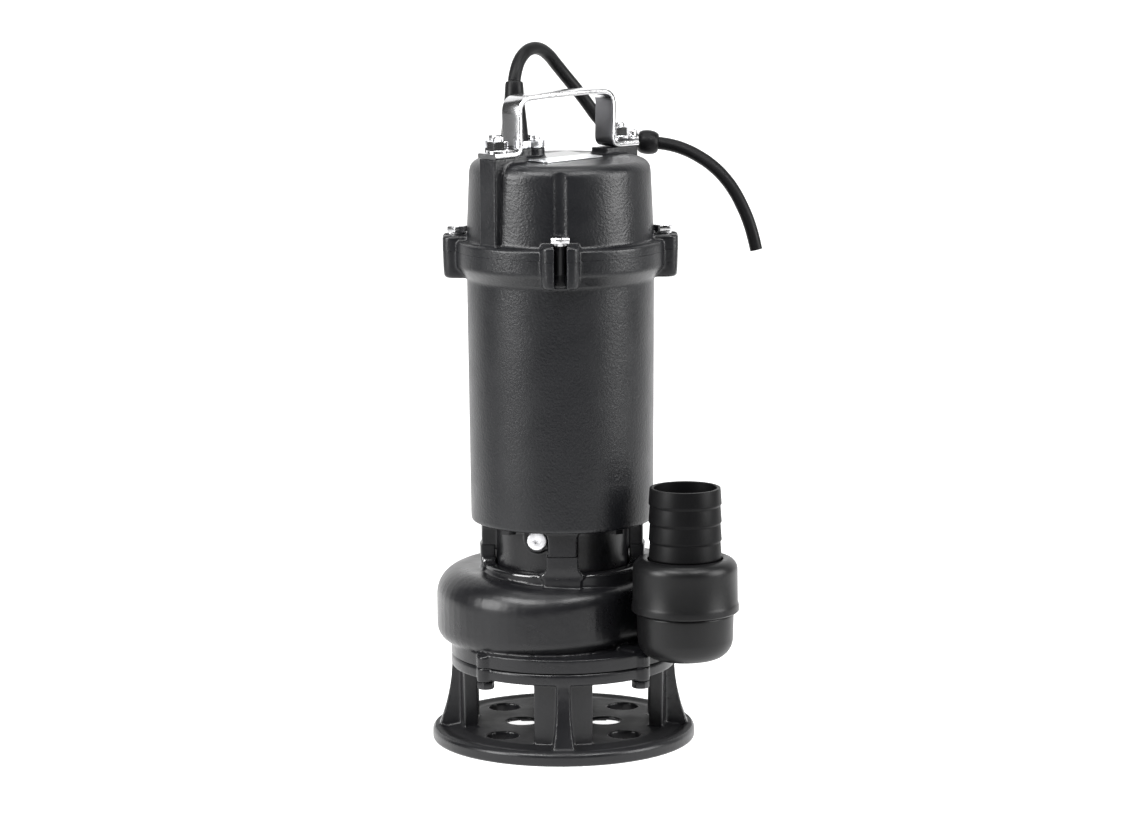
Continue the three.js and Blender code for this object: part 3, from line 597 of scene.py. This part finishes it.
def volute():
    collar = lathe(
        [
            (THROAT_RADIUS, 100),
            (COLLAR_RADIUS, 100),
        ]
        + arc(COLLAR_RADIUS - 1.8, LIP_TOP - 1.8, 1.8, 0, 90, 5)
        + [
            (DRUM_RADIUS + 0.5, LIP_TOP),
            (DRUM_RADIUS + 0.5, COLLAR_TOP),
            (THROAT_RADIUS, COLLAR_TOP),
        ],
        144,
    )
    duct = loft(
        [
            nozzle_section(8, 84.5, 98, 28.5, 26.5, 4.5),
            nozzle_section(-3, 85.5, 99.5, 30, 28, 3.6),
            nozzle_section(NOZZLE_FACE, DISCHARGE_X, NOZZLE_HEIGHT, 33, 29.5, 2.8),
        ]
    )
    outlet = loft(
        [
            nozzle_section(14, 82, 91, 16, 9, 2),
            nozzle_section(NOZZLE_FACE - 1, DISCHARGE_X, 94, 23, 18, 2.4),
        ]
    )
    whole = joined(
        scroll(scroll_outside, 0, 5),
        tube(50, RING_RADIUS, VOLUTE_BOTTOM - 3, SCROLL_BOTTOM + 3, 144),
        collar,
        duct,
        *around(base_lug, 4, 45),
        *around(boss_foot, 4),
    )
    return cut(
        whole,
        rod(56, 60, 84, sides=96),
        rod(THROAT_RADIUS, 78, 150, sides=96),
        scroll(scroll_inside, 7, 15),
        outlet,
        *around(lambda: rod(4.2, 60, 71.5, BASE_BOLT_CIRCLE), 4, 45),
        *around(lambda: rod(4.3, 119, BOSS_TOP + 4, STUD_CIRCLE), 4),
        *[along_y(3.3, -30, 2, x, z) for x, z in elbow_bolt_places()],
        *[along_y(7, -30, NOZZLE_FACE - 8, x, z) for x, z in elbow_bolt_places()],
    )


volute_faces = [rod(200, 50, VOLUTE_BOTTOM), rod(200, BOSS_TOP, 160)]
scroll_casting = finish(
    cast(volute(), voxel=0.9, rounding=6, keep=0.35, faced=volute_faces), "volute", "volute_casing"
)


def on_lip(centre, normal):
    """The lip's round edge and the fillets at the feet of the bosses."""
    beside = LIP_TOP - 2.6 < centre.z < LIP_TOP + 5 and centre.xy.length > 50
    return beside and 0.12 < normal.z < 0.94


painted(scroll_casting, "gloss_black", on_lip)

# ---------- oil chamber ----------

chamber_low, chamber_high = millimetres("oil_chamber")
housing_low, housing_high = millimetres("motor_housing")
HOUSING_BORE = 60.3
POST_RADIUS = 58.6
CHAMBER_BORE = 23.5
CHAMBER_FLANGE = housing_low.z
CHAMBER_FACE = CHAMBER_FLANGE + 6.5
PLUG_X = -18
PLUG_HEIGHT = 154.4


def post():
    """A leg of the chamber, filleted into its flange."""
    levels = [(BOSS_TOP - 3, 10, POST_RADIUS), (CHAMBER_FLANGE - 6, 10, POST_RADIUS)]
    levels += [(CHAMBER_FLANGE - 3, 10.8, POST_RADIUS), (CHAMBER_FLANGE - 1, 12.6, POST_RADIUS)]
    levels += [(CHAMBER_FLANGE + 1, 16, POST_RADIUS)]
    return sector(46, levels)


def oil_chamber():
    drum = lathe(
        [
            (0, chamber_low.z),
            (THROAT_RADIUS - 0.3, chamber_low.z),
            (THROAT_RADIUS - 0.3, COLLAR_TOP - 0.5),
            (DRUM_RADIUS, COLLAR_TOP + 0.5),
            (DRUM_RADIUS, CHAMBER_FLANGE - 4),
            (DRUM_RADIUS + 1, CHAMBER_FLANGE - 1.5),
            (DRUM_RADIUS + 4, CHAMBER_FLANGE),
            (HOUSING_BORE - 0.3, CHAMBER_FLANGE),
            (HOUSING_BORE - 0.3, CHAMBER_FACE),
            (30, CHAMBER_FACE),
            (30, chamber_high.z),
            (0, chamber_high.z),
        ],
        120,
    )
    boss = joined(
        along_y(9.4, -48.4, -38, PLUG_X, PLUG_HEIGHT),
        block(PLUG_X - 9.4, PLUG_X + 9.4, -48.2, -38, PLUG_HEIGHT, CHAMBER_FLANGE + 1),
    )
    return cut(
        joined(drum, boss, *around(post, 4)),
        tube(16, 43, 117, 156),
        rod(17, 116, 157),
        rod(14.3, 108, 118),
        rod(12.5, 150, 180),
        rod(CHAMBER_BORE, 173, 190),
        along_y(5.6, -60, -36, PLUG_X, PLUG_HEIGHT),
        *around(lambda: rod(4.3, 130, 158, STUD_CIRCLE), 4),
        *around(lambda: rod(3.4, 160, 170, STUD_CIRCLE), 4, 45),
    )


post_faces = around(lambda: block(DRUM_RADIUS + 0.5, 70, -20, 20, 120, BOSS_TOP + 0.3), 4)
chamber_casting = cast(oil_chamber(), voxel=0.8, rounding=5, keep=0.35, faced=post_faces)
finish(chamber_casting, "oil_chamber_casting", "oil_chamber")


def oil_plug():
    front = -52
    head = lathe(
        [(0, 0), (6.8, 0), (6.8, 2.4), (6.3, 3), (5.6, 3.2), (0, 3.2)],
        64,
    )
    body = joined(head, rod(5, -6, 1))
    hex_socket = rod(2.3, 2.2, 4, sides=6)
    shape = cut(body, hex_socket)
    moved(shape, Matrix.Rotation(math.radians(90), 4, "X"))
    moved(shape, Matrix.Translation(Vector((PLUG_X, front + 3.2, PLUG_HEIGHT)) * MM))
    return machined(shape, 0.2)


drain_plug = finish(oil_plug(), "drain_plug", "oil_plug")
drain_plug.data.materials[0] = finishes["plated"]

# ---------- motor housing ----------

BAND_RADIUS = 75
BAND_BOTTOM = 345
BAND_TOP = housing_high.z
LUG_BOTTOM = 337.5
LUG_REACH = 84
LUG_HALF = 13.5
BOLT_CIRCLE = 73.5
RADIUS_LOW = 65.7
RADIUS_HIGH = 67


def lug_outline(reach, half, corner):
    return (
        [(60, -half)]
        + arc(reach - corner, -half + corner, corner, -90, 0, 6)
        + arc(reach - corner, half - corner, corner, 0, 90, 6)
        + [(60, half)]
    )


def flange_lug(levels):
    """A lug from (z, how far it is drawn in) levels."""
    return loft(
        [[(x, y, z) for x, y in lug_outline(LUG_REACH - inset, LUG_HALF - inset, 6)] for z, inset in levels]
    )


def lug_slot(bottom, top):
    return joined(
        block(BOLT_CIRCLE, LUG_REACH + 3, -4.3, 4.3, bottom, top),
        rod(4.3, bottom, top, BOLT_CIRCLE),
    )


def motor_housing():
    outer = lathe(
        [(0, CHAMBER_FLANGE)]
        + arc(RADIUS_LOW - 1.8, CHAMBER_FLANGE + 1.8, 1.8, -90, 0, 3)
        + [
            (RADIUS_HIGH, BAND_BOTTOM - 8),
            (RADIUS_HIGH + 2.5, BAND_BOTTOM - 5),
            (BAND_RADIUS - 1.5, BAND_BOTTOM - 0.5),
            (BAND_RADIUS, BAND_BOTTOM + 1.5),
            (BAND_RADIUS, BAND_TOP + 3),
            (0, BAND_TOP + 3),
        ],
        144,
    )
    lug_levels = [(LUG_BOTTOM, 2.4), (LUG_BOTTOM + 1.5, 1), (LUG_BOTTOM + 6, 0.5), (BAND_TOP + 3, 0)]
    return cut(
        joined(outer, *around(lambda: flange_lug(lug_levels), 4)),
        rod(HOUSING_BORE, CHAMBER_FLANGE - 1, CHAMBER_FACE + 0.3, sides=96),
        rod(46.5, 160, CHAMBER_FACE + 8.3, sides=96),
        rod(HOUSING_BORE, CHAMBER_FACE + 6.3, 360, sides=96),
        *around(lambda: lug_slot(LUG_BOTTOM - 1, BAND_TOP + 5), 4),
    )


shell_face = [rod(200, BAND_TOP + 0.08, 370)]
motor_shell = cast(motor_housing(), voxel=1.0, rounding=4, keep=0.3, faced=shell_face)
finish(motor_shell, "motor_shell", "motor_housing")

# ---------- top cover ----------

COVER_BOTTOM = BAND_TOP + 0.3
FLANGE_TOP = 364.4
LUG_TOP = 368
COVER_LOW = 67.2
COVER_HIGH = 65
COVER_TOP = 422
DUCT_TOP = 426.4
DUCT_REACH = 72
GLAND_X = -32
GLAND_BOSS_TOP = 430
GLAND_REACH = 14
STUD_REACH = 61.5


def gland_oval(bottom, top):
    return joined(
        rod(13.5, bottom, top, GLAND_X),
        rod(7.4, bottom, top, GLAND_X - GLAND_REACH),
        rod(7.4, bottom, top, GLAND_X + GLAND_REACH),
    )


def scallop():
    """A shallow flute down the cover's side above a bolt."""
    levels = [(LUG_TOP, COVER_LOW + 7), (COVER_TOP + 2, COVER_LOW + 4.5)]
    return loft([[(x, y, z) for x, y in arc(reach, 0, 9, 0, 352.5, 47)] for z, reach in levels])


def top_cover():
    outer = lathe(
        [
            (0, COVER_BOTTOM - 3),
            (BAND_RADIUS, COVER_BOTTOM - 3),
            (BAND_RADIUS, FLANGE_TOP - 1.2),
            (BAND_RADIUS - 1.4, FLANGE_TOP),
            (COVER_LOW + 1.2, FLANGE_TOP),
            (COVER_LOW, FLANGE_TOP + 1.6),
        ]
        + arc(COVER_HIGH - 9, COVER_TOP - 9, 9, 3, 90, 10)
        + [(0, COVER_TOP)],
        144,
    )
    inside = lathe(
        [
            (0, BAND_TOP - 5),
            (62.2, BAND_TOP - 5),
            (60, 408),
            (52, 417),
            (0, 417),
        ],
        72,
    )
    lug_levels = [(COVER_BOTTOM - 3, 0), (LUG_TOP - 1.2, 0), (LUG_TOP, 1)]
    body = joined(
        outer,
        *around(lambda: flange_lug(lug_levels), 4),
        *around(lambda: block(40, DUCT_REACH, -8, 8, COVER_BOTTOM, DUCT_TOP), 2, 45),
        rod(22, COVER_TOP - 3, 423.8, GLAND_X, sides=96),
        gland_oval(COVER_TOP - 3, GLAND_BOSS_TOP),
    )
    return cut(
        body,
        inside,
        *around(lambda: lug_slot(BAND_TOP - 5, LUG_TOP + 2), 4),
        *around(scallop, 4),
        *around(lambda: rod(4.3, 402, 430, STUD_REACH), 2, 45),
        rod(6, 400, 440, GLAND_X),
        *[rod(2.3, 423, 432, GLAND_X + side * GLAND_REACH) for side in (-1, 1)],
    )


def on_crown(centre, normal):
    """The flat middle of the cover's top, which is smoother than the rest."""
    level = normal.z > 0.97 and COVER_TOP - 1 < centre.z < COVER_TOP + 1
    return level and math.hypot(centre.x - 9, centre.y - 16) < 27


cover_face = [rod(200, 340, COVER_BOTTOM - 0.08)]
cover = cast(top_cover(), voxel=0.8, rounding=4, keep=0.35, faced=cover_face)
finish(cover, "cover_casting", "top_cover")
painted(cover, "flat_black", on_crown)

# ---------- fasteners ----------


def hex_head(across_flats, bottom, top, x, y, facing=30.0):
    """A hex with its corners turned off at the top."""
    corner = across_flats / math.sqrt(3)
    prism = turned(rod(corner, bottom, top, sides=6), facing)
    drop = (corner - across_flats / 2 * 0.98) * 0.6
    crown = lathe(
        [(0, bottom - 1), (corner + 1, bottom - 1), (corner + 1, top - drop - 0.6)]
        + [(across_flats / 2 * 0.97, top), (0, top)],
        48,
    )
    return moved(shared(prism, crown), Matrix.Translation(Vector((x, y, 0)) * MM))


def threaded(radius, bottom, top, x, y, pitch=1.25):
    """A stud with its thread as a stack of grooves and a pointed end."""
    profile = [(0, bottom), (radius, bottom)]
    z = bottom + pitch / 2
    while z < top - 1.2:
        profile += [(radius, z), (radius - 0.55, z + pitch / 2)]
        z += pitch
    profile += [(radius, top - 0.9), (radius - 0.9, top), (0, top)]
    return lathe(profile, 40, (x, y))


def handle_stud(reach, seat):
    x, y = polar(reach, 45)
    washer = lathe(
        [(3.5, seat), (8, seat), (8, seat + 1.3), (7.7, seat + 1.6), (3.5, seat + 1.6)],
        48,
        (x, y),
    )
    nut = hex_head(13, seat + 1.5, seat + 8, x, y, 12)
    return machined(joined(threaded(3.9, 406, seat + 11, x, y), washer, nut), 0.12, 40)


foot_top = 430.3
finish(handle_stud(STUD_REACH, foot_top + 2.1), "back_nut", "handle_stud_back")
finish(handle_stud(-STUD_REACH, foot_top + 0.3), "front_nut", "handle_stud_front")


def cover_bolt(x, y, facing):
    low = LUG_TOP + 0.3
    spring = rod(6.2, low, low + 1.7, x, y)
    head = hex_head(13, low + 1.5, low + 5.9, x, y, facing)
    return machined(joined(rod(3.9, 347.8, low + 2, x, y), spring, head), 0.15, 40)


def base_bolt(x, y, facing):
    head = hex_head(11, 48.3, 53.3, 0, 0, facing)
    moved(head, Matrix.Translation(Vector((0, 0, -50.8)) * MM))
    moved(head, Matrix.Rotation(math.pi, 4, "X"))
    moved(head, Matrix.Translation(Vector((x, y, 50.8)) * MM))
    return machined(joined(head, rod(3.9, 52.3, 70.7, x, y)), 0.2, 40)


for i, facing in enumerate((12, 43, 18, 30)):
    x, y = polar(BOLT_CIRCLE, 90 * i)
    bolt = finish(cover_bolt(x, y, facing), f"flange_bolt_{i + 1}", f"cover_bolt_{i + 1}")
    # The shank below the lug takes the casting's black: painted shade for the dark slot it stands in.
    painted(bolt, "cast_black", lambda centre, normal: centre.z < LUG_TOP + 0.25)
    x, y = polar(BASE_BOLT_CIRCLE, 45 + 90 * i)
    finish(base_bolt(x, y, 5 + 19 * i), f"foot_bolt_{i + 1}", f"base_bolt_{i + 1}")

# ---------- handle ----------

STRAP_WIDTH = 18
STRAP_THICKNESS = 3.6
HANDLE_TOP = 470
HANDLE_LEGS = 46
HANDLE_BENDS = [6, 11, 30]


def rounded_path(corners, radii, steps):
    points = [Vector(corners[0])]
    for i, radius in enumerate(radii, 1):
        here = Vector(corners[i])
        before = (Vector(corners[i - 1]) - here).normalized()
        after = (Vector(corners[i + 1]) - here).normalized()
        reach = radius / math.tan(before.angle(after) / 2)
        a, b = here + before * reach, here + after * reach
        for k in range(steps + 1):
            t = k / steps
            points.append((1 - t) ** 2 * a + 2 * t * (1 - t) * here + t * t * b)
    points.append(Vector(corners[-1]))
    return points


def strap(path, width, thickness, corner):
    """A bar of rounded section along a path of (s, z) points in an upright plane."""
    half_w, half_t = width / 2 - corner, thickness / 2 - corner
    section = []
    for across, up, start in ((1, 1, 0), (-1, 1, 90), (-1, -1, 180), (1, -1, 270)):
        for a, b in arc(0, 0, corner, start, start + 90, 3):
            section.append((across * half_w + a, up * half_t + b))
    rings = []
    for i, point in enumerate(path):
        ahead = path[min(i + 1, len(path) - 1)] - path[max(i - 1, 0)]
        ahead.normalize()
        side = Vector((-ahead.y, ahead.x))
        rings.append([(point.x + side.x * b, a, point.y + side.y * b) for a, b in section])
    return loft(rings)


def handle():
    foot = DUCT_TOP + 0.3 + STRAP_THICKNESS / 2
    bar = HANDLE_TOP - STRAP_THICKNESS / 2
    left = [(-DUCT_REACH, foot), (-HANDLE_LEGS, foot), (-HANDLE_LEGS - 1.5, bar - 1), (-20, bar)]
    right = [(-s, z) for s, z in reversed(left)]
    path = rounded_path(left + right, HANDLE_BENDS + HANDLE_BENDS[::-1], 8)
    shape = strap(path, STRAP_WIDTH, STRAP_THICKNESS, 0.9)
    shape = cut(shape, rod(4.4, 420, 436, STUD_REACH), rod(4.4, 420, 436, -STUD_REACH))
    return smooth_shaded(turned(shape, 45), 32)


# The inner face of the back leg, which gets painted shade and painted dark reflection.
def shaded_back_leg_face(centre, normal):
    return centre.x > 20 and normal.x + normal.y < -1.2


strap_handle = finish(handle(), "strap_handle", "handle")
# The inner face of the back leg gets a darker steel: painted shade and painted dark reflection.
painted(strap_handle, "steel_in_painted_shade", shaded_back_leg_face)

# ---------- cable entry ----------


def gland_plate():
    shape = cut(
        gland_oval(GLAND_BOSS_TOP + 0.3, 435),
        rod(10.2, 425, 440, GLAND_X),
        *[rod(2.5, 423, 440, GLAND_X + side * GLAND_REACH) for side in (-1, 1)],
    )
    return machined(shape, 0.6)


finish(gland_plate(), "gland_clamp", "gland_plate")
for i, side in enumerate((-1, 1), 1):
    x = GLAND_X + side * GLAND_REACH
    head = hex_head(8, 435.3, 438.9, x, 0, 20 * i)
    screw = machined(joined(head, rod(2, 424.3, 436, x)), 0.15, 40)
    finish(screw, f"gland_hex_{i}", f"gland_screw_{i}")


def cable_boot():
    stations = [
        (420, 0, 5.4),
        (430.5, 0, 5.4),
        (430.5, 0, 9.9),
        (431.3, 0, 10),
        (438, 0, 9.7),
        (442, -0.25, 9.4),
        (447, -0.5, 8.9),
        (452, -0.65, 8.4),
        (457, -0.8, 7.8),
        (462, -0.85, 7.35),
        (467, -0.8, 6.95),
        (471, -0.5, 6.7),
        (474.6, 0, 6.45),
        (476, 0.25, 6.1),
        (476.2, 0.3, 5.2),
    ]
    rings = []
    for z, y, radius in stations:
        lean = 0.3 * max(0, (z - 464) / 12) ** 1.5
        circle = arc(0, 0, radius, 0, 352.5, 47)
        rings.append([(GLAND_X + a, y + b * math.cos(lean), z - b * math.sin(lean)) for a, b in circle])
    return smooth_shaded(loft(rings), 50)


finish(cable_boot(), "entry_boot", "cable_boot")

# ---------- cable clip ----------

CLIP_THICKNESS = 1.5
CLIP_SCREW = (52.2, 54.4)


def along_line(profile, start, end, sides=64):
    shape = lathe(profile, sides)
    turn = (end - start).to_track_quat("Z", "Y").to_matrix().to_4x4()
    return moved(shape, Matrix.Translation(start * MM) @ turn)


def cable_clip():
    start, end = Vector((43.8, 64.6, 430.9)), Vector((55.8, 65.4, 427.3))
    length = (end - start).length
    band = along_line([(5.2, 0), (6.6, 0), (6.6, length), (5.2, length)], start, end)
    low = DUCT_TOP + STRAP_THICKNESS + 0.6
    leaf = block(37, 57, 37, 59.2, low, low + CLIP_THICKNESS)
    x, y = polar(STUD_REACH, 45)
    shape = cut(
        joined(leaf, band),
        rod(4.4, 420, 440, x, y),
        rod(2.8, 420, 440, *CLIP_SCREW),
    )
    return machined(shape, 0.3)


def clip_screw():
    seat = DUCT_TOP + STRAP_THICKNESS + 0.9 + CLIP_THICKNESS
    x, y = CLIP_SCREW
    profile = [(0, seat), (4, seat), (4.1, seat + 0.4), (4.1, seat + 3.6), (3.5, seat + 4.6)]
    head = lathe(profile + [(2.6, seat + 5), (0, seat + 5)], 48, (x, y))
    nut = hex_head(5.3, 426.8, 430, x, y)
    shape = joined(head, rod(2.4, 423, seat + 1, x, y), nut)
    return machined(cut(shape, rod(2.2, seat + 2.4, seat + 6, x, y, 6)), 0.12, 40)


def cable_sleeve():
    start, end = Vector((58.4, 65.4, 427.15)), Vector((70.6, 65.5, 426.05))
    profile = [(5.2, -1.4), (6.2, -1.4), (7.5, -0.4), (8.4, 1.6), (8.8, 4.4), (8.8, 7.2)]
    profile += [(8.3, 10), (7.4, 12), (6.2, 13.2), (5.2, 13.4)]
    return smooth_shaded(along_line(profile, start, end), 50)


finish(cable_clip(), "cable_clip", "cable_clamp")
finish(clip_screw(), "clip_screw", "clamp_screw")
finish(cable_sleeve(), "clip_sleeve", "cable_sleeve")


def cover_plate():
    corners = [(25 - 3, -3, 0), (-34 + 3, -3, 90), (-34 + 3, -20 + 3, 180), (25 - 3, -20 + 3, 270)]
    outline = [p for a, b, start in corners for p in arc(a, b, 3, start, start + 90, 5)]
    shape = plate(outline, COVER_TOP + 0.3, COVER_TOP + 1.2)
    return machined(turned(shape, 45), 0.15)


finish(cover_plate(), "blank_plate", "name_plate")

# ---------- discharge ----------

ELBOW_RADIUS = 34.5
ELBOW_BOTTOM = 71.5
ELBOW_SHOULDER = 105
ELBOW_TOP = 120
NECK_HEIGHT = 89.5


def discharge_elbow():
    front = NOZZLE_FACE - 0.3
    back = front - 8
    cup = lathe(
        [(0, ELBOW_BOTTOM)]
        + arc(ELBOW_RADIUS - 15.5, ELBOW_BOTTOM + 15, 15, -90, -4, 9)
        + [
            (ELBOW_RADIUS, ELBOW_SHOULDER - 1),
            (ELBOW_RADIUS - 0.6, ELBOW_SHOULDER),
            (33, ELBOW_SHOULDER),
            (33, ELBOW_TOP),
            (0, ELBOW_TOP),
        ],
        120,
        (DISCHARGE_X, DISCHARGE_Y),
    )
    flange = loft(
        [
            nozzle_section(front, DISCHARGE_X, NOZZLE_HEIGHT, 33, 29.2, 2.8),
            nozzle_section(back, DISCHARGE_X, NOZZLE_HEIGHT, 33, 29.2, 2.8),
        ]
    )
    neck = loft(
        [
            nozzle_section(front - 2, DISCHARGE_X, NECK_HEIGHT + 2, 23.5, 17, 2.2),
            nozzle_section(back - 3, DISCHARGE_X, NECK_HEIGHT, 23, 15, 2.2),
            nozzle_section(DISCHARGE_Y + 8, DISCHARGE_X, NECK_HEIGHT, 23, 15, 2.2),
        ]
    )
    passage = loft(
        [
            nozzle_section(front + 1, DISCHARGE_X, 94, 23, 18, 2.4),
            nozzle_section(back - 2, DISCHARGE_X, NECK_HEIGHT, 19, 11, 2.2),
            nozzle_section(DISCHARGE_Y, DISCHARGE_X, NECK_HEIGHT, 19, 11, 2.2),
        ]
    )
    return cut(
        joined(cup, flange, neck),
        rod(28, 77, 130, DISCHARGE_X, DISCHARGE_Y, 72),
        passage,
        rod(SCROLL_START + 1.2, 60, 140, sides=96),
        rod(RING_RADIUS + 1, 60, SCROLL_BOTTOM + 3.3, sides=96),
        *[along_y(3.6, -45, -10, x, z) for x, z in elbow_bolt_places()],
    )


outlet_elbow = cast(discharge_elbow(), voxel=0.7, rounding=4, keep=0.35)
finish(outlet_elbow, "outlet_elbow", "discharge_elbow")

NUT_RADIUS = 38.2
NUT_BOTTOM = 105.6
NUT_TOP = 144
TAIL_TOP = 194.5
BARBS = 4
BARB_PITCH = 12.9


def union_nut():
    profile = [(33.4, NUT_BOTTOM), (NUT_RADIUS - 1, NUT_BOTTOM), (NUT_RADIUS, NUT_BOTTOM + 1)]
    profile += [(NUT_RADIUS, NUT_BOTTOM + 4.5), (NUT_RADIUS - 0.3, NUT_BOTTOM + 6)]
    profile += [(NUT_RADIUS - 0.8, NUT_BOTTOM + 7.5), (NUT_RADIUS - 1, NUT_TOP - 11)]
    profile += arc(NUT_RADIUS - 9, NUT_TOP - 8, 8, 0, 80, 8)
    profile += [(28, NUT_TOP), (27, NUT_TOP - 0.6), (27, 132), (33.4, 132)]
    return smooth_shaded(lathe(profile, 144, (DISCHARGE_X, DISCHARGE_Y)), 40)


def hose_tail():
    profile = [(22.5, 121), (32.5, 121), (32.5, 131), (26.4, 131), (25.6, 143.5)]
    for i in range(BARBS):
        top = TAIL_TOP - BARB_PITCH * (BARBS - 1 - i)
        profile += [(25.15, top - 12.7), (25.7, top - 11.9), (26, top - 11.3), (25.9, top - 10.6)]
        profile += [(25.2, top - 0.6), (25.05, top - 0.15)]
    profile += [(24.7, TAIL_TOP), (23, TAIL_TOP), (22.5, TAIL_TOP - 0.5)]
    return smooth_shaded(lathe(profile, 144, (DISCHARGE_X, DISCHARGE_Y)), 40)


finish(union_nut(), "coupling_nut", "union_nut")
barbed_tail = finish(hose_tail(), "barbed_tail", "hose_tail")
barbed_tail.data.materials[0] = finishes["dull_plastic"]

# ---------- stage and light ----------

# The floor's glow, in metres: its strength, where it fades at the front and at
# the sides, and how fast it widens behind the pump.
GLOW = 0.95
GLOW_FRONT = (-0.6, -0.22)
GLOW_SIDES = (0.7, 0.36)
GLOW_WIDENS = 1.5


def stage_material():
    """Pale, and lit from within around and behind the pump."""
    made = bpy.data.materials.new("stage")
    made.use_nodes = True
    nodes, links = made.node_tree.nodes, made.node_tree.links
    shader = nodes["Principled BSDF"]
    shader.inputs["Base Color"].default_value = (0.45, 0.45, 0.45, 1)
    shader.inputs["Roughness"].default_value = 0.9
    shader.inputs["Specular IOR Level"].default_value = 0.1
    shader.inputs["Emission Color"].default_value = (1, 1, 1, 1)
    split = nodes.new("ShaderNodeSeparateXYZ")
    links.new(nodes.new("ShaderNodeTexCoord").outputs["Object"], split.inputs[0])
    fade = nodes.new("ShaderNodeMapRange")
    fade.inputs["From Min"].default_value, fade.inputs["From Max"].default_value = GLOW_FRONT
    fade.inputs["To Max"].default_value = GLOW
    links.new(split.outputs["Y"], fade.inputs["Value"])
    sideways = nodes.new("ShaderNodeMath")
    sideways.operation = "ABSOLUTE"
    links.new(split.outputs["X"], sideways.inputs[0])
    narrow = nodes.new("ShaderNodeMapRange")
    narrow.interpolation_type = "SMOOTHSTEP"
    narrow.inputs["From Min"].default_value, narrow.inputs["From Max"].default_value = GLOW_SIDES
    behind = nodes.new("ShaderNodeMath")
    behind.operation = "MAXIMUM"
    behind.inputs[1].default_value = 0
    links.new(split.outputs["Y"], behind.inputs[0])
    widening = nodes.new("ShaderNodeMath")
    widening.operation = "MULTIPLY_ADD"
    widening.inputs[1].default_value = -GLOW_WIDENS
    links.new(behind.outputs[0], widening.inputs[0])
    links.new(sideways.outputs[0], widening.inputs[2])
    links.new(widening.outputs[0], narrow.inputs["Value"])
    both = nodes.new("ShaderNodeMath")
    both.operation = "MULTIPLY"
    links.new(fade.outputs["Result"], both.inputs[0])
    links.new(narrow.outputs["Result"], both.inputs[1])
    links.new(both.outputs[0], shader.inputs["Emission Strength"])
    return made


sweep = [(-6000, 0)] + [(x, 0) for x in (0, 1500)] + arc(1500, 1500, 1500, -80, 0, 9) + [(3000, 6000)]
floor = mesh_object(
    [(side, y, z) for y, z in sweep for side in (-6000, 6000)],
    [(2 * i, 2 * i + 1, 2 * i + 3, 2 * i + 2) for i in range(len(sweep) - 1)],
    "floor",
)
smooth_shaded(floor)
floor.data.materials.append(stage_material())


def softbox(name, place, width, height, power, target=(0, 0, 250)):
    data = bpy.data.lights.new(name, "AREA")
    data.shape = "RECTANGLE"
    data.size, data.size_y = width * MM, height * MM
    data.energy = power
    made = bpy.data.objects.new(name, data)
    made.location = Vector(place) * MM
    made.rotation_euler = ((Vector(target) - Vector(place)) * MM).to_track_quat("-Z", "Y").to_euler()
    bpy.context.scene.collection.objects.link(made)


softbox("left_box", (-1650, -880, 850), 900, 1100, 43)
softbox("right_box", (1750, -520, 800), 1000, 1150, 34)
softbox("high_left_box", (-850, -1150, 2000), 1300, 500, 42)
softbox("high_right_box", (850, -1100, 2000), 1200, 500, 32)
softbox("top_box", (0, 0, 2300), 1200, 800, 15)

world = bpy.data.worlds.new("studio")
world.use_nodes = True
world.node_tree.nodes["Background"].inputs["Color"].default_value = (1, 1, 1, 1)
world.node_tree.nodes["Background"].inputs["Strength"].default_value = 0.03
bpy.context.scene.world = world
bpy.context.scene.view_settings.view_transform = "Standard"
